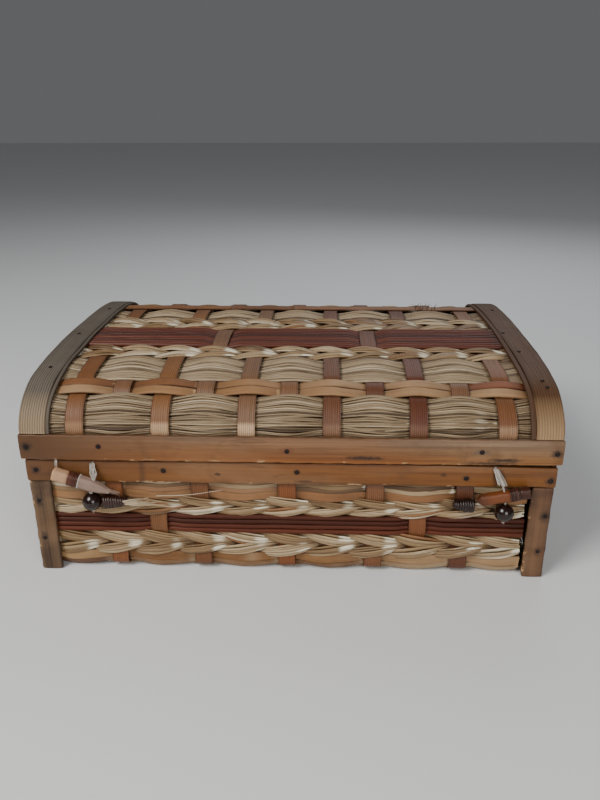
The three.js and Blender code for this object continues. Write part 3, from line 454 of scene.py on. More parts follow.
def smooth_path(pts, n):
    pts = np.array(pts, float)
    t = np.r_[0, np.cumsum(np.sqrt(np.linalg.norm(np.diff(pts, axis=0), axis=1)))]
    P = np.vstack([2 * pts[0] - pts[1], pts, 2 * pts[-1] - pts[-2]])
    T = np.r_[t[0] - (t[1] - t[0]), t, t[-1] + (t[-1] - t[-2])]
    out = []
    for u in np.linspace(t[0], t[-1], n):
        k = min(max(np.searchsorted(t, u) - 1, 0), len(t) - 2) + 1
        p0, p1, p2, p3 = P[k - 1], P[k], P[k + 1], P[k + 2]
        t0, t1, t2, t3 = T[k - 1], T[k], T[k + 1], T[k + 2]
        A1 = (t1 - u) / (t1 - t0) * p0 + (u - t0) / (t1 - t0) * p1
        A2 = (t2 - u) / (t2 - t1) * p1 + (u - t1) / (t2 - t1) * p2
        A3 = (t3 - u) / (t3 - t2) * p2 + (u - t2) / (t3 - t2) * p3
        B1 = (t2 - u) / (t2 - t0) * A1 + (u - t0) / (t2 - t0) * A2
        B2 = (t3 - u) / (t3 - t1) * A2 + (u - t1) / (t3 - t1) * A3
        out.append((t2 - u) / (t2 - t1) * B1 + (u - t1) / (t2 - t1) * B2)
    return np.array(out)

def frames(P, ref):
    T = unit(np.gradient(P, axis=0))
    ref = np.broadcast_to(np.asarray(ref, float), P.shape)
    S = unit(np.cross(T, ref)); N = unit(np.cross(S, T))
    return T, S, N

def tube(M, P, r, m=8, ref=(0, -1, 0), rnd=0.5, tone=0.0, mark=None, flat=1.0, caps=True):
    T, S, N = frames(P, ref)
    M.sweep(P, S, N, ellipse(m), np.asarray(r), np.asarray(r) * flat, rnd, tone, mark, caps)

def lathe(M, A, D, prof, n, ref=(0, -1, 0), rnd=0.5, mark=None, lobes=None, tone=0.0):
    """Turned shape: prof is (distance along, radius), along unit vector D from A."""
    A = np.array(A, float); D = unit(np.array(D, float))
    t = np.array([p[0] for p in prof]); r = np.array([p[1] for p in prof])
    P = A + t[:, None] * D
    ref = np.array(ref, float)
    S = unit(np.cross(D, ref)); N = unit(np.cross(S, D))
    pr = ellipse(n) if lobes is None else lobes
    M.sweep(P, np.tile(S, (len(t), 1)), np.tile(N, (len(t), 1)), pr, r, r, rnd, tone, mark, True)

def closure(side):
    c = {k: np.array(v) * MM for k, v in CLOSE[side].items()}
    body = "toggle_" + side; rng = np.random.RandomState(11 if side == "left" else 23)
    z_end = c["bead"][2] - (BEAD_R + 1.6) * MM
    route = [c["top"], c["top"] * 0.5 + c["a"] * 0.5 + np.array([0, 0.0002, 0]), c["a"], c["b"],
             c["bead"] + np.array([0, 0, BEAD_R * MM * 0.9]), c["bead"], np.array([c["bead"][0], c["bead"][1], z_end])]
    P = smooth_path(route, 46)
    P[:, 1] = np.minimum(P[:, 1], c["top"][1] + 0.0001)
    L = float(np.linalg.norm(np.diff(P, axis=0), axis=1).sum())
    s = np.r_[0, np.cumsum(np.linalg.norm(np.diff(P, axis=0), axis=1))]
    s_peg = s[np.argmin(np.linalg.norm(P - c["a"], axis=1))]
    # the cord itself: three strands laid together
    M = Mesh(); th = np.linspace(0, 2 * math.pi, 24, endpoint=False)
    rad = 1.0 - 0.16 * (0.5 + 0.5 * np.cos(3 * th)) ** 2
    lob3 = np.stack([np.cos(th) * rad, np.sin(th) * rad], -1)
    T, S, N = frames(P, (0, -1, 0))
    M.sweep(P, S, N, lob3, CORD_R * MM, CORD_R * MM, 0.5, 0.1, None, True, s / 0.0048 * 2 * math.pi)
    cord = M.build("cord_strands_" + side, M_CORD, body, ("closure_cord_" + side,), "cord")
    # loose strands that fan out round it above the peg
    M = Mesh()
    for k in range(8 if side == "left" else 13):
        ang = k / 9 * 6.283 + rng.rand() * 0.4
        reach = (0.9 + 0.9 * rng.rand()) if side == "left" else (1.1 + 2.0 * rng.rand())
        lean = (rng.rand() - 0.5) * (2.0 if side == "left" else 5.0)
        e = np.clip(s / s_peg, 0, 1)
        spread = np.where(s < s_peg, 0.85 + reach * np.sin(e * math.pi) ** 0.8, 0.85)
        tw = s / 0.010 * 2.2 + ang
        off = np.stack([np.cos(tw) * spread + lean * (1 - e) ** 1.5, -np.abs(np.sin(tw)) * spread * 0.45 - 0.25 * e, np.zeros_like(s)], -1) * MM
        if side == "right":
            fan = -1 + 2 * k / 12.0
            off = np.stack([fan * (1.3 + 1.9 * e ** 0.8) + 0.3 * np.sin(s / 0.004 + k), -0.35 - 0.55 * np.cos(fan * 1.3) * (0.4 + 0.6 * e) + 0.15 * np.cos(s / 0.005 + 2 * k), np.zeros_like(s)], -1) * MM
        Q = P + off + np.stack([wobble(s, 0.00012, 0.006, rng), 0 * s, 0 * s], -1)
        Q[:, 1] = np.minimum(Q[:, 1], P[0, 1] + 0.0002)
        m_ = s < (s_peg + 0.0125 if side == "left" else s_peg - (0.0010 + 0.0012 * rng.rand()))
        m_ = m_ & (s > 0.0004)
        tube(M, Q[m_], ((0.26 if side == "left" else 0.24) + 0.12 * rng.rand()) * MM, 6, (0, -1, 0), rng.rand(), 0.15 * rng.rand())
    fray = M.build("cord_fray_" + side, M_CORD, body, (), "cord")
    # knot and frayed tail under the bead
    M = Mesh(); kz = c["bead"] - np.array([0, 0, (BEAD_R + 0.7) * MM])
    for k in range(3):
        t = np.linspace(0, 2 * math.pi, 20, endpoint=False)
        tilt = 0.4 * k; R = 0.55 * MM
        ring = np.stack([np.cos(t) * R, np.sin(t) * R * math.cos(tilt), np.sin(t) * R * math.sin(tilt) + (k - 1) * 0.4 * MM], -1) + kz
        T = unit(np.roll(ring, -1, 0) - np.roll(ring, 1, 0)); ctr = unit(ring - kz)
        S = unit(np.cross(T, ctr)); N = unit(np.cross(S, T))
        M.sweep(ring, S, N, ellipse(6), 0.62 * MM, 0.62 * MM, rng.rand(), 0.1, None, False, closed_path=True)
    for k in range(3):
        e = kz + np.array([(rng.rand() - .5) * 2, -rng.rand() * 0.6, -1.6 - 0.8 * rng.rand()]) * MM
        tube(M, smooth_path([kz, kz * .5 + e * .5 + np.array([(rng.rand() - .5) * 1.2, 0, 0]) * MM, e], 8), np.linspace(0.22, 0.09, 8) * MM, 5, (0, -1, 0), rng.rand())
    knot = M.build("cord_knot_" + side, M_CORD, body, (), "cord")

    # bead: turned, slightly flattened, with dimpled holes
    B = Mesh(); rr = (BEAD_R + 0.4) * MM
    prof = []
    for a in np.linspace(-0.5 * math.pi + 0.17, 0.5 * math.pi - 0.17, 26):
        prof.append((math.sin(a) * rr * 0.985, math.cos(a) * rr * (1.0 + 0.012 * math.cos(3 * a))))
    prof = [(prof[0][0] + 0.9 * MM, 0.75 * MM), (prof[0][0] + 0.25 * MM, 0.85 * MM)] + prof + [(prof[-1][0] - 0.25 * MM, 0.85 * MM), (prof[-1][0] - 0.9 * MM, 0.75 * MM)]
    lathe(B, c["bead"], (0.06, 0.02, 1), prof, 40)
    bead = B.build("wooden_bead_" + side, M_BEAD, body, ("bead_" + side,), "dark_bead")

    # peg: split bamboo, flat facets, tapered tip
    pb = "peg_" + side
    A, E = c["A"], c["B"]; D = unit(E - A); Lp = float(np.linalg.norm(E - A))
    S = unit(np.cross(D, np.array([0, -1.0, 0]))); N = unit(np.cross(S, D))
    G = Mesh(); n = 44; t = np.linspace(0, 1, n)
    th = np.linspace(0, 2 * math.pi, 28, endpoint=False)
    sec = []
    rA = 4.15 if side == "left" else 3.75
    tl = 0.30 if side == "left" else 0.10
    b0, b1 = (10.4, 17.2) if side == "left" else (6.6, 13.2)
    for k in range(n):
        x = t[k] * Lp / MM
        p = 3.6
        cx, sx = np.cos(th), np.sin(th)
        X = np.sign(cx) * np.abs(cx) ** (2 / p); Y = np.sign(sx) * np.abs(sx) ** (2 / p)
        r = rA * (1 + 0.02 * math.sin(x * 0.8) + 0.012 * math.sin(x * 2.1))
        if b0 - 0.5 < x < b1 + 0.5: r -= 0.55
        f = max(0.0, (t[k] - (1 - tl)) / tl)
        wX = r * (1 - 0.68 * f ** 1.15); wY = r * 0.92 * (1 - 0.55 * f ** 1.2)
        endr = 1 - 0.06 * (k == 0) - 0.10 * (k == n - 1)
        sec.append(np.stack([X * wX * endr + (0.9 * f if side == "left" else 0.0), Y * wY * endr], -1))
    sec = np.array(sec)
    mark = np.where((t < 0.03), 1.0, np.where(t * Lp / MM < b0, 0.62, 0.0)) if side == "left" else np.where((t > 0.80) | (t < 0.24), 0.0, 0.0)
    # right peg: darker at both ends, so its orange middle stands as a painted highlight on the dark brown bamboo
    if side == "right": mark = np.maximum(1.0 * (t * Lp / MM < 13.5) * 0.85, np.clip((t - 0.72) / 0.28, 0, 1) * 0.8)
    PP = A + (t * Lp)[:, None] * D
    G.sweep(PP, np.tile(S, (n, 1)), np.tile(N, (n, 1)), sec, MM, MM, 0.5, 0.0, mark, True)
    peg = G.build("split_peg_" + side, M_PEGL if side == "left" else M_PEGR, pb, ("peg_" + side,), "pale_peg" if side == "left" else "brown_peg")

    if side == "left":
        # the split tip is frayed into grey fibres
        Ft = Mesh()
        for k in range(12):
            b_ = E - D * (1.5 + 2.5 * rng.rand()) * MM + S * (rng.rand() - 0.5) * 2.4 * MM + N * (rng.rand() * 1.2) * MM
            e_ = E + D * (2.0 + 5.5 * rng.rand()) * MM + S * (rng.rand() - 0.5) * 4.0 * MM + N * (0.3 + 0.6 * rng.rand()) * MM
            tube(Ft, smooth_path([b_, 0.5 * (b_ + e_) + S * (rng.rand() - 0.5) * MM, e_], 9), np.linspace(0.32, 0.10, 9) * MM, 5, (0, -1, 0), 0.3 + 0.6 * rng.rand(), 0.4 * rng.rand())
        Ft.build("peg_fray_left", M_PEGL, pb, (), "pale_peg")
    # binding: separate turns of dark cane, with a pale thread beside it on the left one
    W = Mesh(); turns = 7; wid = (b1 - b0) / turns
    for k in range(turns):
        x = b0 + wid * (k + 0.5)
        cpt = A + D * x * MM
        tt = np.linspace(0, 2 * math.pi, 34, endpoint=False)
        p = 3.0; cx, sx = np.cos(tt), np.sin(tt)
        r = (rA - 0.05 + 0.12 * rng.rand()) * MM
        ring = cpt + (np.sign(cx) * np.abs(cx) ** (2 / p) * r)[:, None] * S + (np.sign(sx) * np.abs(sx) ** (2 / p) * r * 0.95)[:, None] * N + (np.sin(tt + k) * 0.18 * MM)[:, None] * D
        T = unit(np.roll(ring, -1, 0) - np.roll(ring, 1, 0)); ctr = unit(ring - cpt); SS = unit(np.cross(T, ctr)); NN = unit(np.cross(SS, T))
        W.sweep(ring, SS, NN, ellipse(8), wid * 0.52 * MM, 0.42 * MM, rng.rand(), 0.2 * rng.rand(), None, False, closed_path=True)
    bind = W.build("cane_binding_" + side, M_BIND if side == "left" else M_CANE, pb, ("peg_binding_" + side,), "dark_cane")
    if side == "left":
        Wt = Mesh()
        for k in range(2):
            cpt = A + D * (b1 + 0.55 + 0.5 * k) * MM
            tt = np.linspace(0, 2 * math.pi, 34, endpoint=False); cx, sx = np.cos(tt), np.sin(tt); p = 3.4
            r = (rA + 0.12) * MM
            ring = cpt + (np.sign(cx) * np.abs(cx) ** (2 / p) * r)[:, None] * S + (np.sign(sx) * np.abs(sx) ** (2 / p) * r * 0.94)[:, None] * N + (np.sin(tt + 2 * k) * 0.3 * MM)[:, None] * D
            T = unit(np.roll(ring, -1, 0) - np.roll(ring, 1, 0)); ctr = unit(ring - cpt); SS = unit(np.cross(T, ctr)); NN = unit(np.cross(SS, T))
            Wt.sweep(ring, SS, NN, ellipse(6), 0.3 * MM, 0.26 * MM, 0.9, 0.0, None, False, closed_path=True)
        Wt.build("peg_thread_left", M_CORD, pb, (), "cord")
    return L

cord_len = {s: closure(s) for s in ("left", "right")}

# ------------------------------------------------------------------ woven surfaces
class CurveSurf:
    """A mat bent along a profile in (y, z); u runs along x, s along the profile, h outwards."""
    def __init__(self, prof, sign, fine=0.0012):
        prof = np.array(prof, float)
        d = np.r_[0, np.cumsum(np.linalg.norm(np.diff(prof, axis=0), axis=1))]
        n = int(d[-1] / fine) + 2
        s = np.linspace(0, d[-1], n)
        y = np.interp(s, d, prof[:, 0]); z = np.interp(s, d, prof[:, 1])
        k = np.ones(9) / 9
        yp = np.r_[np.full(4, y[0]), y, np.full(4, y[-1])]; zp = np.r_[np.linspace(2 * z[0] - z[4], z[0], 5)[:-1], z, np.linspace(z[-1], 2 * z[-1] - z[-5], 5)[1:]]
        self.y = np.convolve(yp, k, "valid"); self.z = np.convolve(zp, k, "valid"); self.s = s; self.L = float(d[-1])
        t = unit(np.stack([np.gradient(self.y, s), np.gradient(self.z, s)], -1)); self.t = t; self.sign = sign
        self.xs, self.xo = 1.0, 0.0
    def at(self, u, s, h):
        s = np.asarray(s, float); u = u * self.xs + self.xo
        y = np.interp(s, self.s, self.y); z = np.interp(s, self.s, self.z)
        ty = np.interp(s, self.s, self.t[:, 0]); tz = np.interp(s, self.s, self.t[:, 1])
        l = np.hypot(ty, tz); ty, tz = ty / l, tz / l
        ny, nz = (-tz, ty) if self.sign > 0 else (tz, -ty)
        P = np.stack([u + 0 * s, y + h * ny, z + h * nz], -1)
        o = np.zeros_like(ny)
        return P, np.stack([o, ty, tz], -1), np.stack([o, ny, nz], -1)

class FlatSurf:
    """An end mat: u runs along y, s upwards from z0, h outwards along x."""
    def __init__(self, x, out, z0, L):
        self.x, self.out, self.z0, self.L = x, out, z0, L
    def at(self, u, s, h):
        s = np.asarray(s, float) + 0 * u; o = np.zeros_like(s)
        P = np.stack([self.x + self.out * (h + o), u + o, self.z0 + s], -1)
        return P, np.stack([o, o, o + 1], -1), np.stack([o + self.out, o, o], -1)

PITCH = 0.0286
A_ST = 1.75 * MM

def knots(u, xs, vals):
    xs = np.asarray(xs); vals = np.asarray(vals, float)
    k = np.clip(np.searchsorted(xs, u) - 1, 0, len(xs) - 2)
    f = np.clip((u - xs[k]) / (xs[k + 1] - xs[k]), 0, 1)
    return vals[k] + (vals[k + 1] - vals[k]) * sstep(f)

class Weave:
    def __init__(self, surf, rows, u0, u1, stakes, flat, seed, umax=None, smax=None, du=0.0030):
        self.surf, self.rows, self.u0, self.u1, self.stakes, self.flat = surf, rows, u0, u1, stakes, flat
        # by default a weave adds no painted highlight and no painted shade
        self.rng = np.random.RandomState(seed); self.tint = {}; self.grit = 1.0; self.shade_darkening = lambda u, s: 0.0 * u; self.painted_highlight = lambda u, s: 0.0 * u; self.umax = umax; self.smax = smax; self.du = du

    def over(self, row, i):
        v = row.get("over", 0)
        if row["kind"] == "braid": return 0.0
        if callable(v): return 1.0 if v(i) else -1.0
        return 1.0 if (i % 2 == v) else -1.0

    def span(self, s, row=None):
        a, b = self.u0, self.u1
        if row is not None and "u1" in row: b = min(b, row["u1"] + 1.3 * MM * (self.rng.rand() - 0.5))
        if self.umax is not None:
            w = self.umax(s); a, b = max(a, -w), min(b, w)
        return a, b

    def weft(self, M, uu, s_of, h_of, prof, w, th, rnd, tone=0.0, roll=None, mark=None):
        s = s_of(uu); h = h_of(uu)
        P, Ts, N = self.surf.at(uu, s, h)
        T = unit(np.gradient(P, axis=0)); S = unit(np.cross(N, T)); Nn = unit(np.cross(T, S))
        # the weave's painted shade is added to the strand tone here
        M.sweep(P, S, Nn, prof, w, th, rnd, np.clip(tone + self.shade_darkening(uu, s + 0 * uu), 0, 1), mark, True, roll)

    def make_stakes(self, M, prof, width, thick, mark_of=None):
        rng = self.rng
        for i in self.stakes:
            x = i * PITCH + (rng.rand() - 0.5) * 0.8 * MM
            s0, s1 = 0.0, self.surf.L
            if self.smax is not None: s1 = min(s1, self.smax(x + 0 * 1.0))
            n = max(int((s1 - s0) / 0.0026), 8)
            s = np.linspace(s0, s1, n)
            v = np.full(n, self.over(self.rows[0], i))
            for k in range(len(self.rows) - 1):
                a, b = self.over(self.rows[k], i), self.over(self.rows[k + 1], i)
                v = v + (b - a) * sstep((s - self.rows[k]["s1"]) / 0.0095 + 0.5)
            dome = np.zeros(n)
            for r in self.rows:
                if self.over(r, i) > 0:
                    c = 0.5 * (r["s0"] + r["s1"]); hw = 0.5 * (r["s1"] - r["s0"])
                    dome += np.clip(1 - ((s - c) / hw) ** 2, 0, 1) * r.get("dome", 1.0)
            h = (v * A_ST + dome * 0.55 * MM) * self.flat(x + 0 * s, s)
            u = x + wobble(s, 0.35 * MM, 0.09, rng)
            P, Ts, N = self.surf.at(u, s, h)
            T = unit(np.gradient(P, axis=0)); S = unit(np.cross(N, T)); Nn = unit(np.cross(T, S))
            wv = 0.5 * width * (1 + wobble(s, 0.02, 0.08, rng)) * (1 + 0.04 * (rng.rand() - .5))
            mark = mark_of(i, s) if mark_of else None
            # painted shade: the stake is darker where it passes under a weft row, plus the weave's painted shade
            M.sweep(P, S, Nn, prof, wv, thick, self.tint.get(i, rng.rand()), np.clip(-v * 0.25 + 0.6 * self.shade_darkening(u, s), 0, 1), mark, True)

    def grass(self, M, row, width=1.9, layers=2):
        rng = self.rng; s0, s1 = row["s0"], row["s1"]; c = 0.5 * (s0 + s1); H = s1 - s0
        a, b = self.span(c, row)
        xs = np.array([i * PITCH for i in self.stakes]);
        vals = np.array([-self.over(row, i) for i in self.stakes])
        xs = np.r_[xs[0] - PITCH, xs, xs[-1] + PITCH]; vals = np.r_[-vals[0], vals, -vals[-1]]
        for layer in range(layers):
            wd = width * (1.0 if layer == 0 else 1.5)
            n = max(int(round(H / MM / (wd * 0.84))), 3)
            for k in range(n):
                kap = -1 + 2 * (k + 0.5) / n + (rng.rand() - 0.5) * 1.1 / n
                b = self.span(c, row)[1]
                uu = np.arange(a, b + self.du * 0.5, self.du)
                if len(uu) < 4: continue
                ph = rng.rand() * 10
                slope = (rng.rand() - 0.5) * 3.4 * MM if rng.rand() < 0.34 else 0.0
                lift = (0.55 * rng.rand() if rng.rand() < 0.45 else 0.0) * MM
                nz = wobble(uu, 0.16 * MM, 0.07, rng); nh = wobble(uu, 0.13 * MM, 0.05, rng)
                bow = row.get("bow", 1.0)
                def s_of(u, kap=kap, nz=nz, slope=slope, layer=layer):
                    o = 0.5 + 0.5 * knots(u, xs, vals)
                    sq = (0.90 + 0.13 * o * bow) if layer == 0 else 1.02
                    return c + kap * 0.5 * H * sq + nz + slope * np.sin(u / PITCH * math.pi / 2 + ph)
                def h_of(u, kap=kap, nh=nh, layer=layer, lift=lift):
                    kv = knots(u, xs, vals); o = 0.5 + 0.5 * kv
                    base = kv * 1.35 * MM + (1 - kap * kap) * (0.35 + 1.75 * o) * MM * row.get("pillow", 1.0)
                    base = base - layer * 0.9 * MM + lift + nh - row.get("sink", 0.0) * MM
                    return base * self.flat(u, c + kap * 0.5 * H)
                ln = 1.0 + 0.25 * (rng.rand() - 0.5)
                kv = 0.5 + 0.5 * knots(uu, xs, vals)
                # painted shade: a strand is darker where it passes under a stake and on the lower layer
                tone = np.clip(0.5 * (1 - kv) ** 2 + 0.5 * layer, 0, 1)
                # painted highlight: a pale end just before each stake the strand tucks under, a few random pale
                # patches, and the weave's painted highlight
                mk = np.zeros(len(uu)); lit = rng.rand()
                for xx, vv in zip(xs, vals):
                    if vv < 0: mk = np.maximum(mk, (0.85 * lit if lit > 0.35 else 0.1) * (0.4 + 0.6 * rng.rand()) * np.exp(-((uu - (xx - 0.0078)) / 0.0026) ** 2))
                    elif rng.rand() < 0.12: mk = np.maximum(mk, 0.4 * rng.rand() * np.exp(-((uu - xx + 0.008 * (rng.rand() - 0.5)) / 0.008) ** 2))
                mk = np.maximum(mk, self.painted_highlight(uu, s_of(uu)) * (0.25 + 0.75 * rng.rand()))
                self.weft(M, uu, s_of, h_of, PROF_LEAF, 0.5 * wd * MM * ln, (0.50 + 0.2 * rng.rand()) * MM, rng.rand() * 0.96, tone, roll=wobble(uu, 0.3, 0.06, rng), mark=mk)

    def strips(self, M, row, count, thick=0.55, gap=-0.5, bulge=0.5, prof=None, rnds=(0.0, 1.0)):
        rng = self.rng; s0, s1 = row["s0"], row["s1"]; H = s1 - s0
        xs = np.array([i * PITCH for i in self.stakes]); vals = np.array([-self.over(row, i) for i in self.stakes])
        xs = np.r_[xs[0] - PITCH, xs, xs[-1] + PITCH]; vals = np.r_[-vals[0], vals, -vals[-1]]
        a, b = self.span(0.5 * (s0 + s1), row)
        for k in range(count):
            w = H / count; c = s0 + w * (k + 0.5)
            uu = np.arange(a, b + self.du * 0.5, self.du)
            if len(uu) < 4: continue
            nz = wobble(uu, 0.5 * MM, 0.09, rng); nh = wobble(uu, 0.14 * MM, 0.05, rng)
            def s_of(u): return c + nz + (0.12 * MM * np.sin(u / PITCH * math.pi + k * 2.2))
            def h_of(u):
                kv = knots(u, xs, vals)
                return (kv * 1.3 * MM + (0.5 + 0.5 * kv) * bulge * MM + nh + 0.15 * MM * k) * self.flat(u, c)
            # the strip is pieced from lengths, each with its own tone
            kv = 0.5 + 0.5 * knots(uu, xs, vals)
            cuts = [0]
            while cuts[-1] < len(uu) - 1:
                cuts.append(min(cuts[-1] + int((2 + 2 * rng.randint(0, 2)) * PITCH / self.du), len(uu) - 1))
                if len(uu) - 1 - cuts[-1] < 8: cuts[-1] = len(uu) - 1
            for p, q in zip(cuts[:-1], cuts[1:]):
                sl = slice(p, q + 1)
                nz_k, nh_k, u_k = nz[sl], nh[sl], uu[sl]
                if len(u_k) < 4: continue
                def s2(u): return c + nz_k + (0.12 * MM * np.sin(u / PITCH * math.pi + k * 2.2))
                def h2(u):
                    kk = knots(u, xs, vals)
                    return (kk * 1.3 * MM + (0.5 + 0.5 * kk) * bulge * MM + nh_k + 0.15 * MM * k) * self.flat(u, c)
                # painted highlight: a pale end just before each stake the strip tucks under, a few pale patches where
                # it passes over, and the weave's painted highlight
                mk = np.zeros(len(u_k)); lit = rng.rand()
                for xx, vv in zip(xs, vals):
                    if vv < 0 and lit > 0.3: mk = np.maximum(mk, 0.8 * lit * np.exp(-((u_k - (xx - 0.0074)) / 0.0022) ** 2))
                    elif vv > 0 and rng.rand() < 0.3: mk = np.maximum(mk, 0.4 * rng.rand() * np.exp(-((u_k - xx - 0.004) / 0.005) ** 2))
                mk = np.maximum(mk, self.painted_highlight(u_k, c + 0 * u_k) * (0.2 + 0.8 * rng.rand()) * (rnds[0] < 0.1 or rnds[1] > 0.9))
                wv = 0.5 * (w - gap * MM) * (1.0 + wobble(u_k, 0.05, 0.04, rng)) * (0.93 + 0.12 * kv[sl])
                # painted shade: the strip's tone darkens where it dips under a stake
                self.weft(M, u_k, s2, h2, PROF_STRIP if prof is None else prof, wv, thick * MM, rnds[0] + (rnds[1] - rnds[0]) * rng.rand(), 0.6 * (1 - kv[sl]) ** 2, mark=mk)

    def reeds(self, M, row, count):
        rng = self.rng; s0, s1 = row["s0"], row["s1"]; H = s1 - s0; d = H / count
        xs = np.array([i * PITCH for i in self.stakes]); ov = np.array([self.over(row, i) for i in self.stakes])
        a, b = self.span(0.5 * (s0 + s1), row)
        for k in range(count):
            c = s0 + d * (k + 0.5)
            uu = np.arange(a, b + self.du * 0.5, self.du)
            if len(uu) < 4: continue
            h = np.full(len(uu), 1.55 * MM)
            for x, o in zip(xs, ov):
                if o > 0: h -= 2.1 * MM * np.exp(-((uu - x) / (0.42 * PITCH)) ** 4)
            h += wobble(uu, 0.12 * MM, 0.05, rng)
            nz = wobble(uu, 0.22 * MM, 0.12, rng)
            self.weft(M, uu, lambda u: c + nz, lambda u: h * self.flat(u, c), ellipse(10), 0.5 * d * 0.98, 0.46 * d, rng.rand(), 0.12 * rng.rand())

    def braid(self, M, row, strips=4, amp=1.0, phase=0.0):
        """Two twined rows of opposite hand; every turn is a leaf-shaped bunch of flat strips."""
        rng = self.rng; s0, s1 = row["s0"], row["s1"]; H = s1 - s0
        a, b = self.span(0.5 * (s0 + s1), row); hh = H * 0.5
        for (c, hand) in [(s0 + H * 0.26, +1), (s0 + H * 0.74, -1)]:
            sl = row.get("dir", 1) * hand
            for k in range(3):
                uu = np.arange(a, b + self.du * 0.5, self.du)
                if len(uu) < 6: continue
                cc = c + (k - 1) * hh * 0.33 + wobble(uu, 0.5 * MM, 0.05, rng)
                hf = (-0.9 * MM + wobble(uu, 0.2 * MM, 0.04, rng)) * self.flat(uu, c)
                P, Ts, N = self.surf.at(uu, cc, hf)
                T = unit(np.gradient(P, axis=0)); S = unit(np.cross(N, T)); Nn = unit(np.cross(T, S))
                # the filler strands under the lobes are darkened as painted shade (tone 0.85)
                M.sweep(P, S, Nn, PROF_LEAF, hh * 0.22, 0.5 * MM, rng.rand() * 0.5, 0.85, None, True)
            lo = int(math.floor((a / PITCH))) - 1; hi = int(math.ceil(b / PITCH)) + 1
            for j in range(lo, hi + 1):
                xc = (j + phase + 0.06 * (rng.rand() - 0.5)) * PITCH
                K = max(3, strips + int(rng.randint(-1, 2))); base = rng.rand()
                size = 0.92 + 0.22 * rng.rand(); dc = (rng.rand() - 0.5) * 0.10 * hh
                for k in range(K):
                    kap = -1 + 2 * (k + 0.5) / K + (rng.rand() - 0.5) * 0.12
                    th = np.linspace(-0.80, 0.80, 26) * math.pi
                    th = th * (1 + 0.05 * (rng.rand() - 0.5))
                    uu = xc + PITCH * th / math.pi
                    ok = (uu > a) & (uu < b)
                    if ok.sum() < 5: continue
                    th = th[ok]; uu = uu[ok]
                    env = np.clip(np.cos(th / 1.66), 0, 1) ** 0.75
                    sc = c + dc + sl * np.sin(th * 0.60) * hh * 0.32
                    sv = sc + kap * hh * 0.44 * size * env + wobble(uu, 0.12 * MM, 0.03, rng)
                    h = np.cos(th) * 1.75 * MM * amp + (1 - kap * kap) * 1.15 * MM * env + (0.22 * (k % 2) + 0.25 * rng.rand()) * MM - 0.1 * MM
                    h = h * self.flat(uu, c)
                    P, Ts, N = self.surf.at(uu, sv, h)
                    T = unit(np.gradient(P, axis=0)); S = unit(np.cross(N, T)); Nn = unit(np.cross(T, S))
                    w = 0.5 * (hh * 1.00 / K) * (0.40 + 0.80 * env) * (0.8 + 0.45 * rng.rand())
                    rn = float(np.clip(base * 0.55 + 0.38 * rng.rand(), 0, 0.97))
                    if rng.rand() < 0.05: rn = 1.0
                    # painted highlight: a pale tip near the right end of most leaves, plus the weave's painted
                    # highlight
                    mk = np.clip(1.2 - np.abs(th - 0.38 * math.pi) / (0.26 * math.pi), 0, 1) * (0.35 + 0.65 * rng.rand() if rng.rand() < 0.62 else 0.0)
                    mk = np.maximum(mk, self.painted_highlight(uu, sv) * rng.rand() * (1.15 - 0.9 * np.abs(th) / math.pi))
                    # painted shade: darker towards both ends of each leaf where it dips under, plus the weave's painted
                    # shade
                    M.sweep(P, S, Nn, PROF_LEAF, w, (0.34 + 0.14 * rng.rand()) * MM, rn, np.clip(1.1 * (1 - env) ** 1.4 + 0.45 * np.clip(-np.cos(th), 0, 1) + self.shade_darkening(uu, sv), 0, 1), mk, True,
                            wobble(uu, 0.22, 0.06, rng) - kap * 0.35 * env)

PROF_LEAF = ellipse(6, 2.2)
PROF_STRIP = slab(crown=0.25, top=7, side=2)
PROF_STAKE = slab(ridges=8, amp=0.20, crown=0.15, side=2)

# pale marks along the stakes near given heights: partly wear, partly a painted highlight (sheen)
def stake_marks(edges, strength=0.9, reach=0.013):
    def f(i, s):
        m = np.zeros(len(s))
        for e in edges: m = np.maximum(m, strength * np.clip(1 - np.abs(s - e) / reach, 0, 1) ** 0.6)
        return m
    return f

def build_weave(W, name, body, reps, fibre_slot="woven_seagrass", mark=None, floor=False):
    groups = {}
    def G(k):
        return groups.setdefault(k, Mesh())
    for idx, r in enumerate(W.rows):
        k = r["kind"]
        if k == "grass": W.grass(G("seagrass_%d" % (idx % 3)), r, r.get("w", 1.8), r.get("layers", 2))
        elif k == "flat": W.strips(G("cane_strips"), r, r.get("n", 2), thick=r.get("t", 0.55), bulge=r.get("bulge", 0.6), gap=0.1, rnds=r.get("rnds", (0.0, 1.0)))
        elif k == "mix":
            cut = r["s0"] + (r["s1"] - r["s0"]) * (0.56 if r.get("swap") else 0.44)
            up, dn = dict(r), dict(r)
            up["s1"] = cut; dn["s0"] = cut
            pale, tan = (up, dn) if r.get("swap") else (dn, up)
            W.strips(G("braid_row_%d" % idx), pale, 3, thick=0.5, bulge=2.0, gap=-0.7)
            W.strips(G("cane_strips"), tan, 1, thick=0.6, bulge=1.9, gap=-0.6, rnds=(0.2, 0.75))
        elif k == "rim":
            W.strips(G("rim_leaf"), r, 2, thick=0.6, bulge=0.25, gap=-1.2)
        elif k == "reed": W.reeds(G("reeds"), r, r["n"])
        elif k == "braid": W.braid(G("braid_%d" % idx), r, r.get("strips", 4), r.get("amp", 1.0), r.get("phase", 0.0))
    W.make_stakes(G("stakes"), PROF_STAKE, 11.9 * MM, 0.50 * MM, mark)
    mats = {"rim": M_RIM, "seagrass": M_GRASS, "cane_strips": M_FLAT, "reeds": M_REED, "braid": M_BRAID, "stakes": M_STAKE}
    out = []
    for k, M in groups.items():
        if not M.v: continue
        mt = next(v for kk, v in mats.items() if k.startswith(kk))
        if mt is M_REED and name == "base": mt = M_REED_B
        out.append(M.build(name + "_" + k, mt, body, reps if not out else (), fibre_slot))
    return out

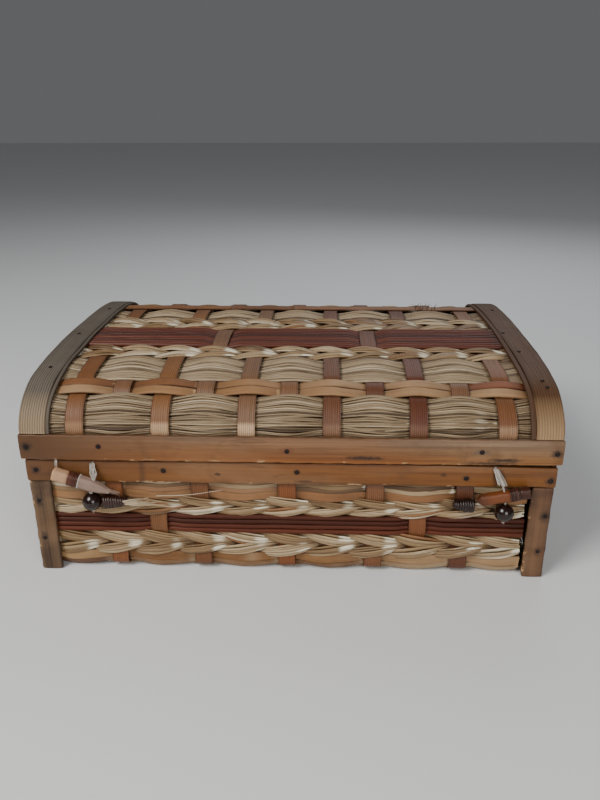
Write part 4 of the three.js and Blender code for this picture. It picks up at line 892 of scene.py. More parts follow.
# ---- lid
ARCH = np.array([[136.9, 106.3], [136.1, 110.1], [134.0, 114.9], [129.6, 120.9], [123.6, 126.2], [116.0, 130.4],
                 [106.5, 133.9], [90.3, 136.7], [71.3, 138.5], [47.5, 139.7], [23.8, 140.3], [0, 140.5]]) * MM
def arch_curve(d, foot=None, n=150):
    pts = np.vstack([np.stack([-ARCH[:, 0], ARCH[:, 1]], -1), np.stack([ARCH[::-1][1:, 0], ARCH[::-1][1:, 1]], -1)])
    P = smooth_path(np.c_[pts, np.zeros(len(pts))], n)[:, :2]
    t = unit(np.gradient(P, axis=0)); t[0] = (0, 1); t[-1] = (0, -1)
    Q = P + np.stack([t[:, 1], -t[:, 0]], -1) * d
    if foot is not None:
        Q = np.vstack([[Q[0, 0], foot], Q, [Q[-1, 0], foot]])
    return Q
LID_MID = 4.5 * MM
lid_surf = CurveSurf(arch_curve(LID_MID, LID_LO), +1)
FOOT = RAIL_HI - LID_LO + 0.3 * MM     # profile length hidden behind the front rail
def lrow(kind, a, b, **k):
    return dict(kind=kind, s0=FOOT + a * MM, s1=FOOT + b * MM, **k)
LT = (lid_surf.L - 2 * FOOT) / MM
k_arc = LT / 295.0
rows_lid = [dict(kind="grass", s0=0.0, s1=FOOT - 6 * MM, over=0, layers=2, w=3.0)]
for kind, a, b, kw in [("grass", -10, 29, dict(over=1, w=1.28)), ("flat", 28, 44.5, dict(over=0, n=2, bulge=0.9, t=0.5)), ("grass", 44.5, 84, dict(over=1, w=1.28)),
                       ("braid", 83, 107, dict(strips=4, phase=0.0)), ("reed", 107, 151, dict(over=lambda i: i in (-2, 2, -6, 6), n=10)),
                       ("braid", 151, 187, dict(strips=4, phase=1.0)), ("grass", 186, 221, dict(over=1, w=2.2, pillow=0.75)), ("flat", 222, 238, dict(over=lambda i: False, n=1, bulge=1.1, rnds=(0.05, 0.4))),
                       ("grass", 238, 262, dict(over=0, w=2.2, pillow=0.2, sink=1.5)), ("braid", 262, 284, dict(strips=4)), ("grass", 284, 304, dict(over=0, w=2.4))]:
    rows_lid.append(lrow(kind, a * k_arc, b * k_arc, **kw))
rows_lid.append(dict(kind="grass", s0=FOOT + 304 * k_arc * MM, s1=lid_surf.L, over=1, layers=1, w=3.0))
def lid_flat(u, s):
    e = sstep((np.abs(u) - 0.1585) / 0.004)
    r = np.maximum(sstep((FOOT + 1.5 * MM - s) / (4 * MM)), sstep((s - (lid_surf.L - FOOT - 1.5 * MM)) / (4 * MM)))
    return 1 - 0.62 * np.maximum(e, r)
lid_weave = Weave(lid_surf, rows_lid, -0.1762, 0.1762, range(-6, 7), lid_flat, 71)
lid_weave.stakes = list(range(-6, 7)); lid_weave.tint = {-5: 0.92, -4: 0.45, -3: 0.98, -2: 0.5, -1: 0.5, 0: 0.42, 1: 0.66, 2: 0.70, 3: 0.74, 4: 0.55, 5: 0.9}
# pale marks on the stakes just above the front rail and near the back: partly wear, partly a painted highlight (sheen)
def lid_mark(i, s):
    m = {-1: 1.0, -3: 0.75, -5: 0.3, 1: 0.15, 3: 0.1, 5: 0.35}.get(i, 0.0) * sstep((FOOT + 7.2 * MM - s) / (2.2 * MM))
    m = np.maximum(m, 0.45 * np.clip(1 - np.abs(s - (lid_surf.L - FOOT - 1 * MM)) / (9 * MM), 0, 1) ** 0.7)
    return m
# painted shade: strands darker next to the front rail and along both band edges (most on the right), a darker area on
# the right of the back half, and a slight darkening everywhere
def lid_shade_darkening(u, s):
    return 0.62 * sstep((u - 0.146) / 0.012) + 0.22 * sstep((-u - 0.150) / 0.012) + 0.30 * sstep((FOOT + 3.0 * MM - s) / (3.5 * MM)) + 0.25 * sstep((u - 0.06) / 0.1) * sstep((s - 0.16) / 0.04) + 0.10
# painted highlight: pale sheen on the lid's lower front just above the rail, strongest round x = 126 mm and weaker at
# the centre
lid_weave.painted_highlight = lambda u, s: (0.75 * np.exp(-((u - 0.126) / 0.009) ** 2) + 0.22 * np.exp(-((u - 0.002) / 0.010) ** 2)) * np.exp(-((s - FOOT - 9 * MM) / (12 * MM)) ** 2)
lid_weave.shade_darkening = lid_shade_darkening
build_weave(lid_weave, "lid", "lid", ("lid_mat",), mark=lid_mark)

# ---- base: front, floor and back in one
Y0 = bm1[1] - 2 * MM; RF = 4 * MM
bp = [(-Y0, BASE_TOP)] + [(-(Y0 - RF) - RF * math.cos(a), RF + 2 * MM - RF * math.sin(a)) for a in np.linspace(0, math.pi / 2, 7)]
bp += [((Y0 - RF) + RF * math.sin(a), RF + 2 * MM - RF * math.cos(a)) for a in np.linspace(0, math.pi / 2, 7)] + [(Y0, BASE_TOP)]
base_surf = CurveSurf(bp, -1); base_surf.xs, base_surf.xo = 1.045, -1.2 * MM
BL = base_surf.L
def brow(kind, z1, z0, **k):
    return dict(kind=kind, s0=BASE_TOP - z1 * MM, s1=BASE_TOP - z0 * MM, **k)
front = [dict(kind="grass", s0=0.0, s1=BASE_TOP - 71.5 * MM, over=1, layers=1, w=3.0),
         brow("mix", 71.5, 57.2, over=0, swap=True, pillow=0.8), brow("braid", 58.2, 44.3, strips=4, phase=0.0, amp=1.0),
         brow("reed", 45.0, 30.4, over=lambda i: i in (-3, 3), n=4), brow("braid", 31.0, 12.2, strips=4, phase=1.0, amp=1.0),
         brow("flat", 13.2, 0.6, over=0, n=1, bulge=0.8)]
for r_ in front[1:]: r_["u1"] = (0.1609 + 0.0012) / 1.045
front[-1]["kind"] = "rim"; front[-1]["s1"] = BASE_TOP - 0.6 * MM
nfl = 8; f0 = front[-1]["s1"]; f1 = BL - f0
mid = []
for k in range(nfl):
    a, b = f0 + (f1 - f0) * k / nfl, f0 + (f1 - f0) * (k + 1) / nfl
    mid.append(dict(kind="grass", s0=a, s1=b, over=(k + 1) % 2, layers=1, w=3.4, pillow=0.35))
backr = []
for r in reversed(front):
    q = dict(r); q["s0"], q["s1"] = BL - r["s1"], BL - r["s0"]; q["dir"] = -1; q.pop("u1", None)
    if "swap" in q: q["swap"] = not q["swap"]
    if q["kind"] == "mix": q["swap"] = False
    backr.append(q)
rows_base = front + mid + backr
def base_flat(u, s):
    u = u * 1.045 - 1.2 * MM
    e = sstep((np.abs(u) - 0.1600) / 0.004)
    top = BASE_TOP - BRAIL_LO
    r = np.maximum(sstep((top + 1.5 * MM - s) / (4 * MM)), sstep((s - (BL - top - 1.5 * MM)) / (4 * MM)))
    fl = 0.35 * sstep((s - (BASE_TOP - 3 * MM)) / (5 * MM)) * sstep((BL - BASE_TOP + 3 * MM - s) / (5 * MM))
    return 1 - 0.62 * np.maximum(np.maximum(e, r), fl)
base_weave = Weave(base_surf, rows_base, (-0.1743 + 0.0012) / 1.045, (0.1743 + 0.0012) / 1.045, list(range(-5, 6)) , base_flat, 113)
base_weave.tint = {-5: 0.2, -4: 0.15, -3: 0.95, -2: 0.9, -1: 0.5, 0: 0.05, 1: 0.4, 2: 0.3, 3: 0.1, 4: 0.7, 5: 0.2}
# painted shade: strands darker just under the base rail, near the floor and towards the left edge, with a slight
# darkening everywhere
def base_shade_darkening(u, s):
    z = BASE_TOP - np.minimum(s, BL - s)
    return 0.45 * sstep((z - 65 * MM) / (5 * MM)) + 0.30 * sstep((9 * MM - z) / (7 * MM)) + 0.25 * sstep((-u - 0.150) / 0.012) + 0.06
base_weave.shade_darkening = base_shade_darkening
# painted highlight: pale sheen over the right part of the base front
base_weave.painted_highlight = lambda u, s: 0.5 * sstep((u - 0.015) / 0.10) * sstep((BASE_TOP + 10 * MM - s) / (6 * MM))
build_weave(base_weave, "base", "base", ("base_mat",))

# ---- end mats
def end_rows_base():
    z0 = 4.6 * MM
    return [dict(kind="flat", s0=0.0, s1=9 * MM, over=0, n=1), dict(kind="braid", s0=9 * MM, s1=27 * MM, strips=4),
            dict(kind="reed", s0=27 * MM, s1=41 * MM, over=lambda i: i in (-2, 2), n=4), dict(kind="braid", s0=41 * MM, s1=54 * MM, strips=4),
            dict(kind="grass", s0=54 * MM, s1=68 * MM, over=1), dict(kind="grass", s0=68 * MM, s1=82.2 * MM, over=0, layers=1, w=3.0)]
yb = box("base_end_mat_left")[1][1]
for side, sg in (("left", -1), ("right", 1)):
    e0, e1 = box("base_end_mat_" + side)
    xm = 0.5 * (e0[0] + e1[0])
    sf = FlatSurf(xm, sg, 4.6 * MM, 82.2 * MM)
    def ef(u, s):
        e = sstep((np.abs(u) - (yb - 0.0125)) / 0.004)
        r = sstep((s - (64.6 * MM)) / (4 * MM))
        return 1 - 0.62 * np.maximum(e, r)
    W = Weave(sf, end_rows_base(), -yb + 0.3 * MM, yb - 0.3 * MM, list(range(-4, 5)), ef, 200 + sg)
    build_weave(W, "base_end_" + side, "base", ("base_end_mat_" + side,))
yl = box("lid_end_mat_left")[1][1]
end_arch = arch_curve(6.8 * MM + 0.3 * MM, LID_LO)
def lid_end_height(u):
    half = end_arch[:len(end_arch) // 2 + 1]
    return np.interp(-abs(u), half[:, 0], half[:, 1]) - LID_LO - 0.6 * MM
def lid_end_width(s):
    z = s + LID_LO
    half = end_arch[:len(end_arch) // 2 + 1]
    return abs(np.interp(min(z + 0.0012, half[-1, 1] - 1e-5), half[:, 1], half[:, 0])) - 0.4 * MM
for side, sg in (("left", -1), ("right", 1)):
    e0, e1 = box("lid_end_mat_" + side)
    xm = 0.5 * (e0[0] + e1[0])
    sf = FlatSurf(xm, sg, LID_LO, 44.5 * MM)
    rows = [dict(kind="grass", s0=0, s1=17 * MM, over=0, layers=1, w=3.0), dict(kind="flat", s0=17 * MM, s1=25 * MM, over=1, n=1),
            dict(kind="grass", s0=25 * MM, s1=37 * MM, over=0, w=2.0), dict(kind="grass", s0=37 * MM, s1=44.0 * MM, over=1, w=2.0)]
    def lf(u, s):
        return 1 - 0.62 * sstep((19.5 * MM - s) / (4 * MM)) + 0 * u
    W = Weave(sf, rows, -yl + 0.3 * MM, yl - 0.3 * MM, list(range(-4, 5)), lf, 300 + sg, umax=lid_end_width, smax=lid_end_height)
    build_weave(W, "lid_end_" + side, "lid", ("lid_end_mat_" + side,))

# ------------------------------------------------------------------ slats and rails
def rect_section(w, h, r=0.12, k=5, top=9):
    """Rounded rectangle in units: half sizes w, h; first coordinate across, second outwards."""
    pts = []
    for cx, cz, a0 in ((w - r, -(h - r), -90), (w - r, h - r, 0), (-(w - r), h - r, 90), (-(w - r), -(h - r), 180)):
        for a in np.linspace(a0, a0 + 90, k + 1):
            pts.append((cx + r * math.cos(math.radians(a)), cz + r * math.sin(math.radians(a))))
    # extra points along the broad faces
    out = []
    for a, b in zip(pts, pts[1:] + pts[:1]):
        out.append(a)
        if abs(a[0] - b[0]) > w * 0.8:
            for f in np.linspace(0, 1, top + 2)[1:-1]:
                out.append((a[0] + (b[0] - a[0]) * f, a[1] + (b[1] - a[1]) * f))
    return np.array(out)

def slat(name, body, node_name, axis, out_dir, mat, slot, nodes=(), seed=1, rnd=0.5, r=0.8, bulge=0.35, nails_dark=(), trim=None, tone=0.0):
    """A bamboo slat filling a CAD node's box: long axis 'axis', outer face towards out_dir."""
    a, b = box(node_name); rng = np.random.RandomState(seed)
    ax = "xyz".index(axis); od = np.array(out_dir, float)
    ox = int(np.argmax(np.abs(od))); wx = 3 - ax - ox
    c = 0.5 * (a + b); L = b[ax] - a[ax]; hw = 0.5 * (b[wx] - a[wx]); ht = 0.5 * (b[ox] - a[ox])
    n = max(int(L / 0.0030), 12)
    t = np.linspace(a[ax], b[ax], n)
    # tighter rings at the ends for a worn edge
    t = np.sort(np.r_[t, a[ax] + 0.4 * MM, a[ax] + 1.0 * MM, b[ax] - 0.4 * MM, b[ax] - 1.0 * MM]); n = len(t)
    sec0 = rect_section(hw, ht, r * MM)
    top = sec0[:, 1] > 0
    sec = np.repeat(sec0[None], n, 0)
    q = 1 - (sec0[:, 0] / hw) ** 2
    sec[:, :, 1] += np.where(top, q, 0)[None] * bulge * MM
    wn = wobble(t, 0.18 * MM, 0.11, rng); hn = wobble(t, 0.10 * MM, 0.07, rng)
    for k in range(n):
        e = min(t[k] - a[ax], b[ax] - t[k]) / MM
        sh = 0.35 * (1 - min(e / 1.0, 1.0)) ** 2 * MM
        sec[k, :, 0] *= (hw - sh + wn[k] * 0.5) / hw
        if trim is not None:
            lo_, hi_ = trim(t[k])
            f = (sec[k, :, 0] / hw + 1) * 0.5
            sec[k, :, 0] += (1 - f) * lo_ - f * hi_
        sec[k, :, 1] = np.where(sec0[:, 1] > 0, sec[k, :, 1] + hn[k] - sh, sec[k, :, 1] + sh * 0.3)
    jl = wobble(t, 0.20 * MM, 0.017, rng) + wobble(t, 0.12 * MM, 0.006, rng); jr = wobble(t, 0.20 * MM, 0.019, rng) + wobble(t, 0.12 * MM, 0.007, rng)
    for _ in range(int(L / 0.05)):
        k0 = rng.rand() * L + a[ax]; dip = 0.5 * MM * rng.rand() * np.exp(-((t - k0) / (1.8 * MM)) ** 2)
        if rng.rand() < 0.5: jl = jl + dip
        else: jr = jr - dip
    fr = sec[:, :, 0] / hw
    sec[:, :, 0] += np.clip((-fr - 0.8) * 5, 0, 1) * jl[:, None] + np.clip((fr - 0.8) * 5, 0, 1) * jr[:, None]
    mark = np.zeros(n)
    for xn in nodes:
        d = (t - xn) / MM
        ring = np.exp(-(d / 1.1) ** 2)
        sec[:, :, 1] += (np.where(top, 1.0, 0.0)[None] * (ring * 0.30 - np.exp(-((d - 1.3) / 0.5) ** 2) * 0.28)[:, None]) * MM
        mark = np.maximum(mark, np.exp(-((d - 1.2) / 0.8) ** 2))
    P = np.zeros((n, 3)); P[:, ax] = t; P[:, ox] = c[ox]; P[:, wx] = c[wx]
    S = np.zeros((n, 3)); S[:, wx] = 1.0
    N = np.zeros((n, 3)); N[:, ox] = od[ox]
    M = Mesh(); M.sweep(P, S, N, sec, 1.0, 1.0, rnd, tone, mark, True)
    # 'across' runs 0 to 1 over the width
    M.attr["across"][-1] = (np.clip(sec[:, :, 0] / hw, -1, 1) * 0.5 + 0.5).reshape(-1)
    return M.build(name, mat, body, (node_name,), slot)

slat("lid_front_rail", "lid", "lid_rail_front", "x", (0, -1, 0), M_RAIL_LID, "bamboo_rail", nodes=(-0.1012,), seed=5, rnd=0.55, trim=lambda x: (0.7 * MM * max(0.0, (x - 0.09) / 0.09), 0.0))
slat("lid_back_rail", "lid", "lid_rail_back", "x", (0, 1, 0), M_RAIL, "bamboo_rail", nodes=(0.083,), seed=6, rnd=0.3)
slat("base_front_rail", "base", "base_rail_front", "x", (0, -1, 0), M_RAIL_BASE, "bamboo_rail", nodes=(-0.0997, -0.0530), seed=7, rnd=0.15, trim=lambda x: (0.0, 0.25 * MM + 1.5 * MM * max(0.0, (x - 0.06) / 0.12) ** 1.3))
slat("base_back_rail", "base", "base_rail_back", "x", (0, 1, 0), M_RAIL, "bamboo_rail", nodes=(-0.04, 0.12), seed=8, rnd=0.4)
for s_, d_ in (("left", -1), ("right", 1)):
    slat("lid_%s_rail" % s_, "lid", "lid_rail_" + s_, "y", (d_, 0, 0), M_RAIL, "bamboo_rail", nodes=(0.05 * d_,), seed=9 + d_, rnd=0.5)
    slat("base_%s_rail" % s_, "base", "base_rail_" + s_, "y", (d_, 0, 0), M_RAIL, "bamboo_rail", nodes=(-0.07 * d_,), seed=13 + d_, rnd=0.25)
    for part in ("lid", "base"):
        slat("%s_%s_inner_rail" % (part, s_), part, "%s_inner_rail_%s" % (part, s_), "y", (-d_, 0, 0), M_INNER, "bamboo_slat", nodes=(0.03,), seed=17 + d_, rnd=0.5, r=0.6, bulge=0.2)
    for f_, e_ in (("front", -1), ("back", 1)):
        slat("%s_corner_slat_%s" % (f_, s_), "base", "corner_slat_%s_%s" % (f_, s_), "z", (0, e_, 0), M_POST_L if s_ == "left" else M_POST_R, "bamboo_slat", nodes=(), seed=21 + d_ * 2 + e_, rnd=0.3 + 0.2 * d_, r=0.7, bulge=0.5)
        slat("%s_end_slat_%s" % (f_, s_), "base", "end_slat_%s_%s" % (f_, s_), "z", (d_, 0, 0), M_POST_L if s_ == "left" else M_POST_R, "bamboo_slat", nodes=(), seed=31 + d_ * 2 + e_, rnd=0.6, r=0.6, bulge=0.4)
for part in ("lid", "base"):
    for f_, e_ in (("front", -1), ("back", 1)):
        slat("%s_%s_inner_rail" % (part, f_), part, "%s_inner_rail_%s" % (part, f_), "x", (0, -e_, 0), M_INNER, "bamboo_slat", nodes=(-0.06 * e_,), seed=41 + e_, rnd=0.45, r=0.6, bulge=0.2)

# ---- arched bands
def band(name, node_name, d0, d1, ridges, mat, seed, inner=False, rnd=0.3, mark_front=1.0):
    a, b = box(node_name); rng = np.random.RandomState(seed)
    C = arch_curve(0.5 * (d0 + d1), None, 120)
    n = len(C); x = 0.5 * (a[0] + b[0]); hw = 0.5 * (b[0] - a[0])
    s = np.r_[0, np.cumsum(np.linalg.norm(np.diff(C, axis=0), axis=1))]
    P = np.stack([x + wobble(s, 0.25 * MM, 0.12, rng), C[:, 0], C[:, 1]], -1)
    t = unit(np.gradient(C, axis=0)); N = np.stack([np.zeros(n), -t[:, 1], t[:, 0]], -1)
    S = np.tile(np.array([1.0, 0, 0]), (n, 1))
    if inner: N = -N
    prof = slab(ridges=ridges, amp=0.12, crown=0.12, side=3)
    ht = 0.5 * (d1 - d0)
    # pale marks on the band's front and back ends: partly wear, partly a painted highlight (sheen)
    mark = mark_front * np.clip(1 - s / 0.030, 0, 1) ** 0.7 + 0.8 * mark_front * np.clip(1 - (s[-1] - s) / 0.030, 0, 1) ** 0.7
    M = Mesh(); M.sweep(P, S, N, prof, hw, ht, rnd, 0.0, mark, True)
    return M.build(name, mat, "lid", (node_name,), "edge_band" if not inner else "bamboo_slat")
band("left_edge_band", "lid_band_left", -0.2 * MM, 2.2 * MM, 11, M_BAND, 51, rnd=0.2)
band("right_edge_band", "lid_band_right", -0.2 * MM, 2.2 * MM, 10, M_BAND_R, 52, rnd=0.6, mark_front=0.8)
band("left_inner_band", "lid_inner_band_left", 6.8 * MM, 8.8 * MM, 0, M_INNER, 53, inner=True, mark_front=0)
band("right_inner_band", "lid_inner_band_right", 6.8 * MM, 8.8 * MM, 0, M_INNER, 54, inner=True, mark_front=0)
def side_strip(x0, x1, name, rnd, seed):
    C = arch_curve(1.2 * MM, None, 120); n = len(C)
    s = np.r_[0, np.cumsum(np.linalg.norm(np.diff(C, axis=0), axis=1))]
    rng = np.random.RandomState(seed)
    P = np.stack([0.5 * (x0 + x1) + wobble(s, 0.3 * MM, 0.1, rng), C[:, 0], C[:, 1]], -1)
    t = unit(np.gradient(C, axis=0)); N = np.stack([np.zeros(n), -t[:, 1], t[:, 0]], -1)
    M = Mesh(); M.sweep(P, np.tile(np.array([1.0, 0, 0]), (n, 1)), N, slab(crown=0.3, top=6, side=2), 0.5 * (x1 - x0), 0.8 * MM, rnd, 0.2, None, True)
    return M.build(name, M_BAND, "lid", (), "edge_band")
side_strip(0.1578, 0.1612, "right_band_inner_strip", 0.9, 61)
side_strip(-0.1612, -0.1588, "left_band_inner_strip", 0.3, 62)

# ------------------------------------------------------------------ nails
def nail_piece(name, body, pos, out_dir, reps=(), r=1.75, seed=0):
    rng = np.random.RandomState(seed)
    M = Mesh(); pos = np.array(pos, float); D = unit(np.array(out_dir, float))
    ref = (0, 0, 1) if abs(D[2]) < 0.9 else (1, 0, 0)
    prof = [(-1.6, 0.55), (-0.35, 0.6), (-0.30, r * 0.80), (0.0, r), (0.22, r * 0.97), (0.42, r * 0.8), (0.52, r * 0.5), (0.55, r * 0.15)]
    lob = ellipse(14) * (1 + 0.06 * (rng.rand(14) - 0.5))[:, None]
    lathe(M, pos, D, [(p * MM, q * MM) for p, q in prof], 14, ref=ref, lobes=lob)
    return M.build(name, M_NAIL, body, reps, "nail_iron")
LID_NAILS = [[-175.2, 97.4], [-126.4, 98.4], [-1, 96.6], [126.8, 97.6], [175.6, 96.9]]
BASE_NAILS = [[-171.4, 79.8], [-84.5, 80.3], [5.4, 80.4], [118.3, 77.6], [174.2, 76.2]]
yl_, yb_ = lrf0[1] - 0.30 * MM, brf0[1] - 0.30 * MM
for i, (x, z) in enumerate(LID_NAILS):
    nail_piece("lid_nail_head_%d" % (i + 1), "lid", (x * MM, yl_, z * MM), (0, -1, 0), ("lid_nail_%d" % (i + 1),), seed=i)
for i, (x, z) in enumerate(BASE_NAILS):
    nail_piece("base_nail_head_%d" % (i + 1), "base", (x * MM, yb_, z * MM), (0, -1, 0), ("base_nail_%d" % (i + 1),), seed=20 + i)
cs0, cs1 = box("corner_slat_front_left")
for i, (x, z) in enumerate([(-172.4, 55.8), (-172.1, 26.0), (173.9, 49.3), (171.8, 21.3)]):
    nail_piece("post_nail_%d" % (i + 1), "base", (x * MM, cs0[1] - 0.35 * MM, z * MM), (0, -1, 0), (), 1.5, seed=40 + i)
    nail_piece("post_nail_back_%d" % (i + 1), "base", (x * MM, -cs0[1] + 0.35 * MM, z * MM), (0, 1, 0), (), 1.5, seed=50 + i)
for i, (x, z) in enumerate([(-168, 97), (-95 + 14, 98), (4, 97), (110, 97.5), (170, 96)]):
    nail_piece("lid_back_nail_%d" % (i + 1), "lid", (x * MM, -lrf0[1] + 0.30 * MM, z * MM), (0, 1, 0), (), seed=60 + i)
for i, (x, z) in enumerate([(-170, 79), (-60, 80), (20, 78.5), (120, 79), (171, 79)]):
    nail_piece("base_back_nail_%d" % (i + 1), "base", (x * MM, -brf0[1] + 0.30 * MM, z * MM), (0, 1, 0), (), seed=70 + i)
for sg, sd in ((-1, "left"), (1, "right")):
    r1 = box("lid_rail_" + sd); r2 = box("base_rail_" + sd)
    xo1 = r1[0][0] if sg < 0 else r1[1][0]; xo2 = r2[0][0] if sg < 0 else r2[1][0]
    for i, y in enumerate((-120, -45, 38, 118)):
        nail_piece("lid_end_nail_%s_%d" % (sd, i + 1), "lid", (xo1 + sg * 0.3 * MM, y * MM, (97 + i % 2) * MM), (sg, 0, 0), (), seed=80 + i)
        nail_piece("base_end_nail_%s_%d" % (sd, i + 1), "base", (xo2 + sg * 0.3 * MM, (y + 6) * MM, (79 + i % 2) * MM), (sg, 0, 0), (), seed=90 + i)
def on_band(x, s_mm, name, seed):
    C = arch_curve(-0.45 * MM, None, 400); s = np.r_[0, np.cumsum(np.linalg.norm(np.diff(C, axis=0), axis=1))]
    k = int(np.argmin(np.abs(s - s_mm * MM))); t = unit(C[k + 1] - C[k - 1])
    nail_piece(name, "lid", (x * MM, C[k, 0], C[k, 1]), (0, -t[1], t[0]), (), 1.35, seed)
for i, (x, s_mm) in enumerate([(172, 40), (170.5, 47), (166, 96), (164, 140), (-170, 60), (-171, 130), (-169, 210), (171, 215)]):
    on_band(x, s_mm, "band_nail_%d" % (i + 1), 100 + i)

# ------------------------------------------------------------------ hinge rings: wound cane
for sd, x in (("left", -0.095), ("right", 0.095)):
    a, b = box("hinge_ring_" + sd); c = 0.5 * (a + b); M = Mesh(); rng = np.random.RandomState(7)
    for k in range(3):
        t = np.linspace(0, 2 * math.pi, 40, endpoint=False)
        R = (4.15 + 0.1 * k) * MM
        ring = np.stack([np.full(40, c[0] + (k - 1) * 0.72 * MM) + 0.25 * MM * np.sin(t + k), c[1] + R * np.cos(t), c[2] + R * np.sin(t)], -1)
        ctr = unit(ring - c); T = unit(np.roll(ring, -1, 0) - np.roll(ring, 1, 0)); S = unit(np.cross(T, ctr)); N = unit(np.cross(S, T))
        M.sweep(ring, S, N, ellipse(8), 0.55 * MM, 0.5 * MM, rng.rand(), 0, None, False, closed_path=True)
    t = np.linspace(0.9 * math.pi, 2.6 * math.pi, 60)
    M.build("wound_hinge_" + sd, M_CANE, "base", ("hinge_ring_" + sd,), "dark_cane")

# ------------------------------------------------------------------ peg sockets: cane wound into a cone
for sd in ("left", "right"):
    a, b = box("peg_socket_" + sd); c = 0.5 * (a + b)
    x_m, x_t = (a[0], b[0]) if sd == "left" else (b[0], a[0]); sg = 1 if x_t > x_m else -1
    L = abs(x_t - x_m); M = Mesh(); rng = np.random.RandomState(15 if sd == "left" else 16)
    turns = 10 if sd == "left" else 8
    n = turns * 22; u = np.linspace(0, 1, n)
    R = np.interp(u, [0, 0.2, 0.55, 0.85, 1.0], [4.45, 4.3, 3.4, 2.1, 1.1]) * MM
    R = R * (1 + 0.03 * np.sin(u * 40))
    th = u * turns * 2 * math.pi
    P = np.stack([x_m + sg * (0.5 * MM + u * (L - 1.0 * MM)), c[1] - R * np.sin(th) * 0.97, c[2] + R * np.cos(th)], -1)
    ctr = np.stack([np.zeros(n), -np.sin(th), np.cos(th)], -1)
    T = unit(np.gradient(P, axis=0)); S = unit(np.cross(T, ctr)); N = unit(np.cross(S, T))
    dkn = 0.1 if sd == "left" else 0.95
    M.sweep(P, S, N, ellipse(8), L / turns * 0.56, 0.62 * MM, 0.3 if sd == "left" else 0.1, dkn, None, True)
    # an under-layer so that no light shows between the turns
    prof = [(0.6, 4.05), (3.0, 3.9), (L / MM * 0.5, 3.1), (L / MM * 0.8, 1.95), (L / MM - 0.6, 0.8)]
    # outer and inner walls of the lining
    ins = [(L / MM * 0.62, 0.3), (L / MM * 0.6, 2.0), (L / MM * 0.4, 2.8), (2.5, 3.4), (0.4, 3.6)]
    full = ins + prof
    A = np.array([x_m, c[1], c[2]])
    tt = np.array([p[0] for p in full]) * MM; rr = np.array([p[1] for p in full]) * MM
    PP = A + np.stack([sg * tt, 0 * tt, 0 * tt], -1)
    M.sweep(PP, np.tile([0, 0, 1.0], (len(tt), 1)), np.tile([0, -1.0, 0], (len(tt), 1)), ellipse(24), rr, rr, 0.1, 0.5, None, True)
    # lashing that ties the tip to the stake
    for k in range(3):
        y = c[1] + 2.3 * MM
        q = np.array([x_t - sg * (3.4 - 1.1 * k) * MM, c[1], c[2]])
        pts = [q + np.array([0, 3.9, 2.3]) * MM, q + np.array([0, 0.2, 2.5]) * MM, q + np.array([0, -2.1, 0.3]) * MM, q + np.array([0, 0.3, -2.4]) * MM, q + np.array([0, 3.9, -2.2]) * MM]
        tube(M, smooth_path(pts, 18), 0.55 * MM, 7, (1, 0, 0), rng.rand(), dkn)
    M.build("wound_socket_" + sd, M_CANE, "base", ("peg_socket_" + sd,), "dark_cane")

# ------------------------------------------------------------------ loose fibres
F = Mesh(); rng = np.random.RandomState(77)
def loose(p0, p1, sag, r, rnd, n=18):
    p0, p1 = np.array(p0) * MM, np.array(p1) * MM
    m = 0.5 * (p0 + p1) + np.array(sag) * MM
    tube(F, smooth_path([p0, m, p1], n), np.linspace(r, r * 0.35, n) * MM, 5, (0, -1, 0), rnd)
loose((-91, -136.2, 60.5), (-45, -137.4, 66.5), (0, -1.6, -0.5), 0.35, 0.9)
loose((52, -136.5, 50), (86, -137.0, 47), (0, -1.4, 1.5), 0.3, 0.8)
sa, sb = box("peg_socket_left"); sc = 0.5 * (sa + sb) / MM
for k in range(14):
    x0 = sb[0] / MM - 4.5 + 3.0 * rng.rand(); z0 = sc[2] + (rng.rand() - 0.4) * 3.4
    loose((x0, sc[1] - 2.0 - 0.9 * rng.rand(), z0), (x0 + 12 + 16 * rng.rand(), -136.4 - 0.8 * rng.rand(), z0 - 1.0 + (rng.rand() - 0.5) * 6.5), ((rng.rand() - 0.5) * 2, -0.5 - 0.8 * rng.rand(), (rng.rand() - 0.3) * 2.0), 0.36, 0.55 + 0.4 * rng.rand())
F.build("stray_fibres_base", M_BRAID, "base", (), "woven_seagrass")
F = Mesh()
for k in range(3):
    loose((-156.8 + 0.5 * k, -137.2, 88.2), (-157.3 + 0.7 * k, -138.9, 82.4 - 0.8 * k), (0.3, -1.2, 0.2), 0.26, 0.7, 9)
F.build("loose_thread_lid", M_CORD, "lid", (), "cord")
F = Mesh()
blob, _, bn = lid_surf.at(np.array([0.0605]), np.array([FOOT + 12.5 * MM]), np.array([3.1 * MM]))
lathe(F, blob[0], bn[0], [(-0.6 * MM, 0.9 * MM), (0.0, 1.5 * MM), (0.35 * MM, 1.2 * MM), (0.5 * MM, 0.3 * MM)], 12, ref=(1, 0, 0), lobes=ellipse(12) * (1 + 0.25 * (rng.rand(12) - 0.5))[:, None])
F.build("pale_speck_lid", M_BRAID, "lid", (), "woven_seagrass")
F = Mesh()
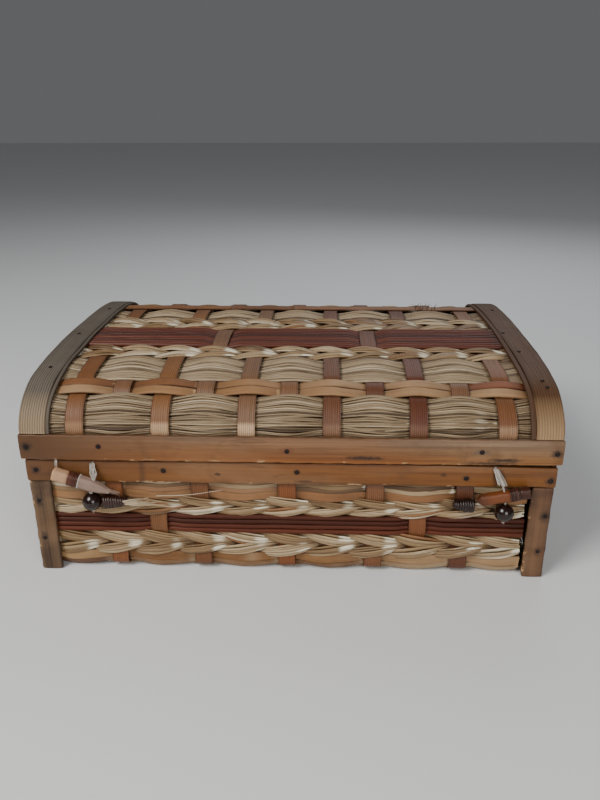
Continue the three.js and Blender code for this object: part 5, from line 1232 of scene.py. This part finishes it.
for k in range(15):
    x = 104 + 18 * rng.rand(); y = 62 + 12 * rng.rand()
    z = 139.0
    loose((x, y, z - 1), (x + (rng.rand() - .5) * 9, y + (rng.rand() - .5) * 6, z + 2.2 + 3.2 * rng.rand()), ((rng.rand() - .5) * 3, 0, 1.0), 0.22, 0.02, 9)
for k in range(6):
    x = -150 + 300 * rng.rand(); y = -40 + 100 * rng.rand()
    loose((x, y, 139.5), (x + (rng.rand() - .5) * 14, y + 4, 142.2), (0, 0, 1.2), 0.18, 0.6, 9)
F.build("stray_fibres_lid", M_CANE, "lid", (), "woven_seagrass")

# ------------------------------------------------------------------ floor and lights
def plane(name, size, z, mat, loc=(0, 0)):
    me = bpy.data.meshes.new(name); s = size
    me.from_pydata([(loc[0] - s, loc[1] - s, z), (loc[0] + s, loc[1] - s, z), (loc[0] + s, loc[1] + s, z), (loc[0] - s, loc[1] + s, z)], [], [(0, 1, 2, 3)])
    me.materials.append(mat); o = bpy.data.objects.new(name, me); bpy.context.scene.collection.objects.link(o)
    return o
fm, fnt, fbs = new_mat("floor_pale")
fbs.inputs["Base Color"].default_value = lin(226, 227, 228); fbs.inputs["Roughness"].default_value = 0.75
plane("floor", 6.0, -0.0001, fm)

def area(name, loc, target, size, power, color=(1, 1, 1), size_y=None):
    l = bpy.data.lights.new(name, "AREA"); l.energy = power; l.size = size; l.color = color
    if size_y: l.shape = "RECTANGLE"; l.size_y = size_y
    o = bpy.data.objects.new(name, l); o.location = loc
    d = Vector(target) - Vector(loc); o.rotation_euler = d.to_track_quat("-Z", "Y").to_euler()
    bpy.context.scene.collection.objects.link(o)
area("key", (-0.72, -0.78, 1.10), (0, 0, 0.08), 0.6, 18.0, (1.0, 0.985, 0.955))
area("back", (0.35, 0.95, 0.95), (0, 0.0, 0.12), 0.8, 4.0, (0.94, 0.97, 1.0))
area("front", (0.45, -1.25, 0.55), (0, 0, 0.07), 0.6, 7.0, (1.0, 0.98, 0.95))
w = bpy.data.worlds.new("world"); bpy.context.scene.world = w; w.use_nodes = True
bg = w.node_tree.nodes["Background"]; bg.inputs[0].default_value = (0.86, 0.88, 0.90, 1); bg.inputs[1].default_value = 0.14
